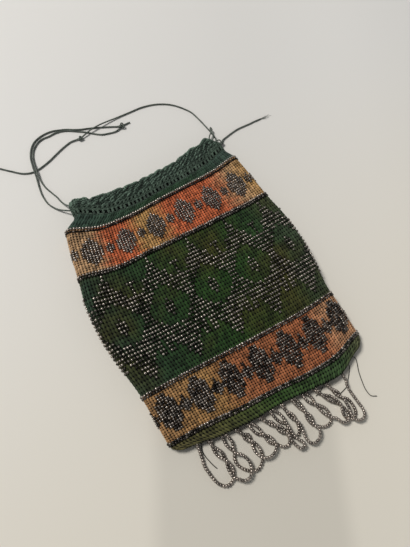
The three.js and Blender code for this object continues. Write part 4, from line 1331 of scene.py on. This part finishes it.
# %% Table
TABLE_REACH = 1.5
SHADE_AT = (-19.7, -34.8, 0)
SHADE_ACROSS, SHADE_DOWN = (0.887, -0.461, 0), (-0.461, -0.887, 0)
SHADE_DEPTH = 0.14
bm = bmesh.new()
bmesh.ops.create_grid(bm, x_segments=4, y_segments=4, size=TABLE_REACH)
table = keep_mesh("table", bm)
top, tree, shader = material("table_top", Roughness=0.6, Specular_IOR_Level=0.25)
place = add(tree, "ShaderNodeTexCoord").outputs["Object"]
to_shade = {0: place, 1: at(*SHADE_AT)}
from_shade = add(tree, "ShaderNodeVectorMath", to_shade, operation="SUBTRACT").outputs[0]


def distance_along(direction):
    """How far a place on the table lies from the shade's middle, measured one way."""
    both = {0: from_shade, 1: direction}
    return add(tree, "ShaderNodeVectorMath", both, operation="DOT_PRODUCT").outputs["Value"]


across, down = distance_along(SHADE_ACROSS), distance_along(SHADE_DOWN)
within = fade(tree, calc(tree, "ABSOLUTE", across), 66 * MM, 50 * MM)
below = calc(tree, "MULTIPLY", fade(tree, down, -20 * MM, 20 * MM), fade(tree, down, 130 * MM, 85 * MM))
shade = calc(tree, "MULTIPLY_ADD", calc(tree, "MULTIPLY", within, below), -SHADE_DEPTH, 1)
# Painted light and shade: the shade strip, times a colour that grows lighter across to the right
painted_light_and_shade = calc(tree, "MULTIPLY", shade, fade(tree, across, 0, 150 * MM, 1, 1.09))
towards_top = fade(tree, add(tree, "ShaderNodeSeparateXYZ", {0: place}).outputs[1], -0.16, 0.2)
paint = blend(tree, towards_top, linear(218, 212, 199), linear(213, 211, 207))
tree.links.new(blend(tree, 1.0, paint, painted_light_and_shade, kind="MULTIPLY"), shader.inputs["Base Color"])
table.data.materials.append(top)
print("table, metres across:", 2 * TABLE_REACH)

# %% [markdown]
# The light is soft and comes from the bag's upper left. A broad lamp gives the beads something to
# glint at, and a pale sky all round keeps the shadows open.

# %% Light
world = bpy.data.worlds.new("pale_room")
world.use_nodes = True
sky = world.node_tree
up = add(sky, "ShaderNodeSeparateXYZ", {0: add(sky, "ShaderNodeTexCoord").outputs["Generated"]}).outputs[2]
sky.links.new(
    blend(sky, fade(sky, up, 0.0, 0.85), (0.94, 0.97, 1.0, 1), (0.12, 0.125, 0.13, 1)),
    sky.nodes["Background"].inputs["Color"],
)
sky.nodes["Background"].inputs["Strength"].default_value = 0.8
bpy.context.scene.world = world


def lamp(name, place, size, power, colour):
    """A round lamp that shines at the middle of the scene."""
    light = bpy.data.lights.new(name, "AREA")
    light.shape = "DISK"
    light.size = size
    light.energy = power
    light.color = colour
    holder = in_scene(name, light)
    holder.location = place
    holder.rotation_euler = (-Vector(place)).to_track_quat("-Z", "Y").to_euler()


lamp("window", (-0.8, 1.1, 1.65), 0.7, 42, (1.0, 0.98, 0.95))
bpy.context.scene.view_settings.view_transform = "Standard"
print("lights:", len(bpy.data.lights))

# %% [markdown]
# The cross-sections are no part of the bag, so they go.

# %% The cross-sections go
for section in sections:
    bpy.data.objects.remove(section)
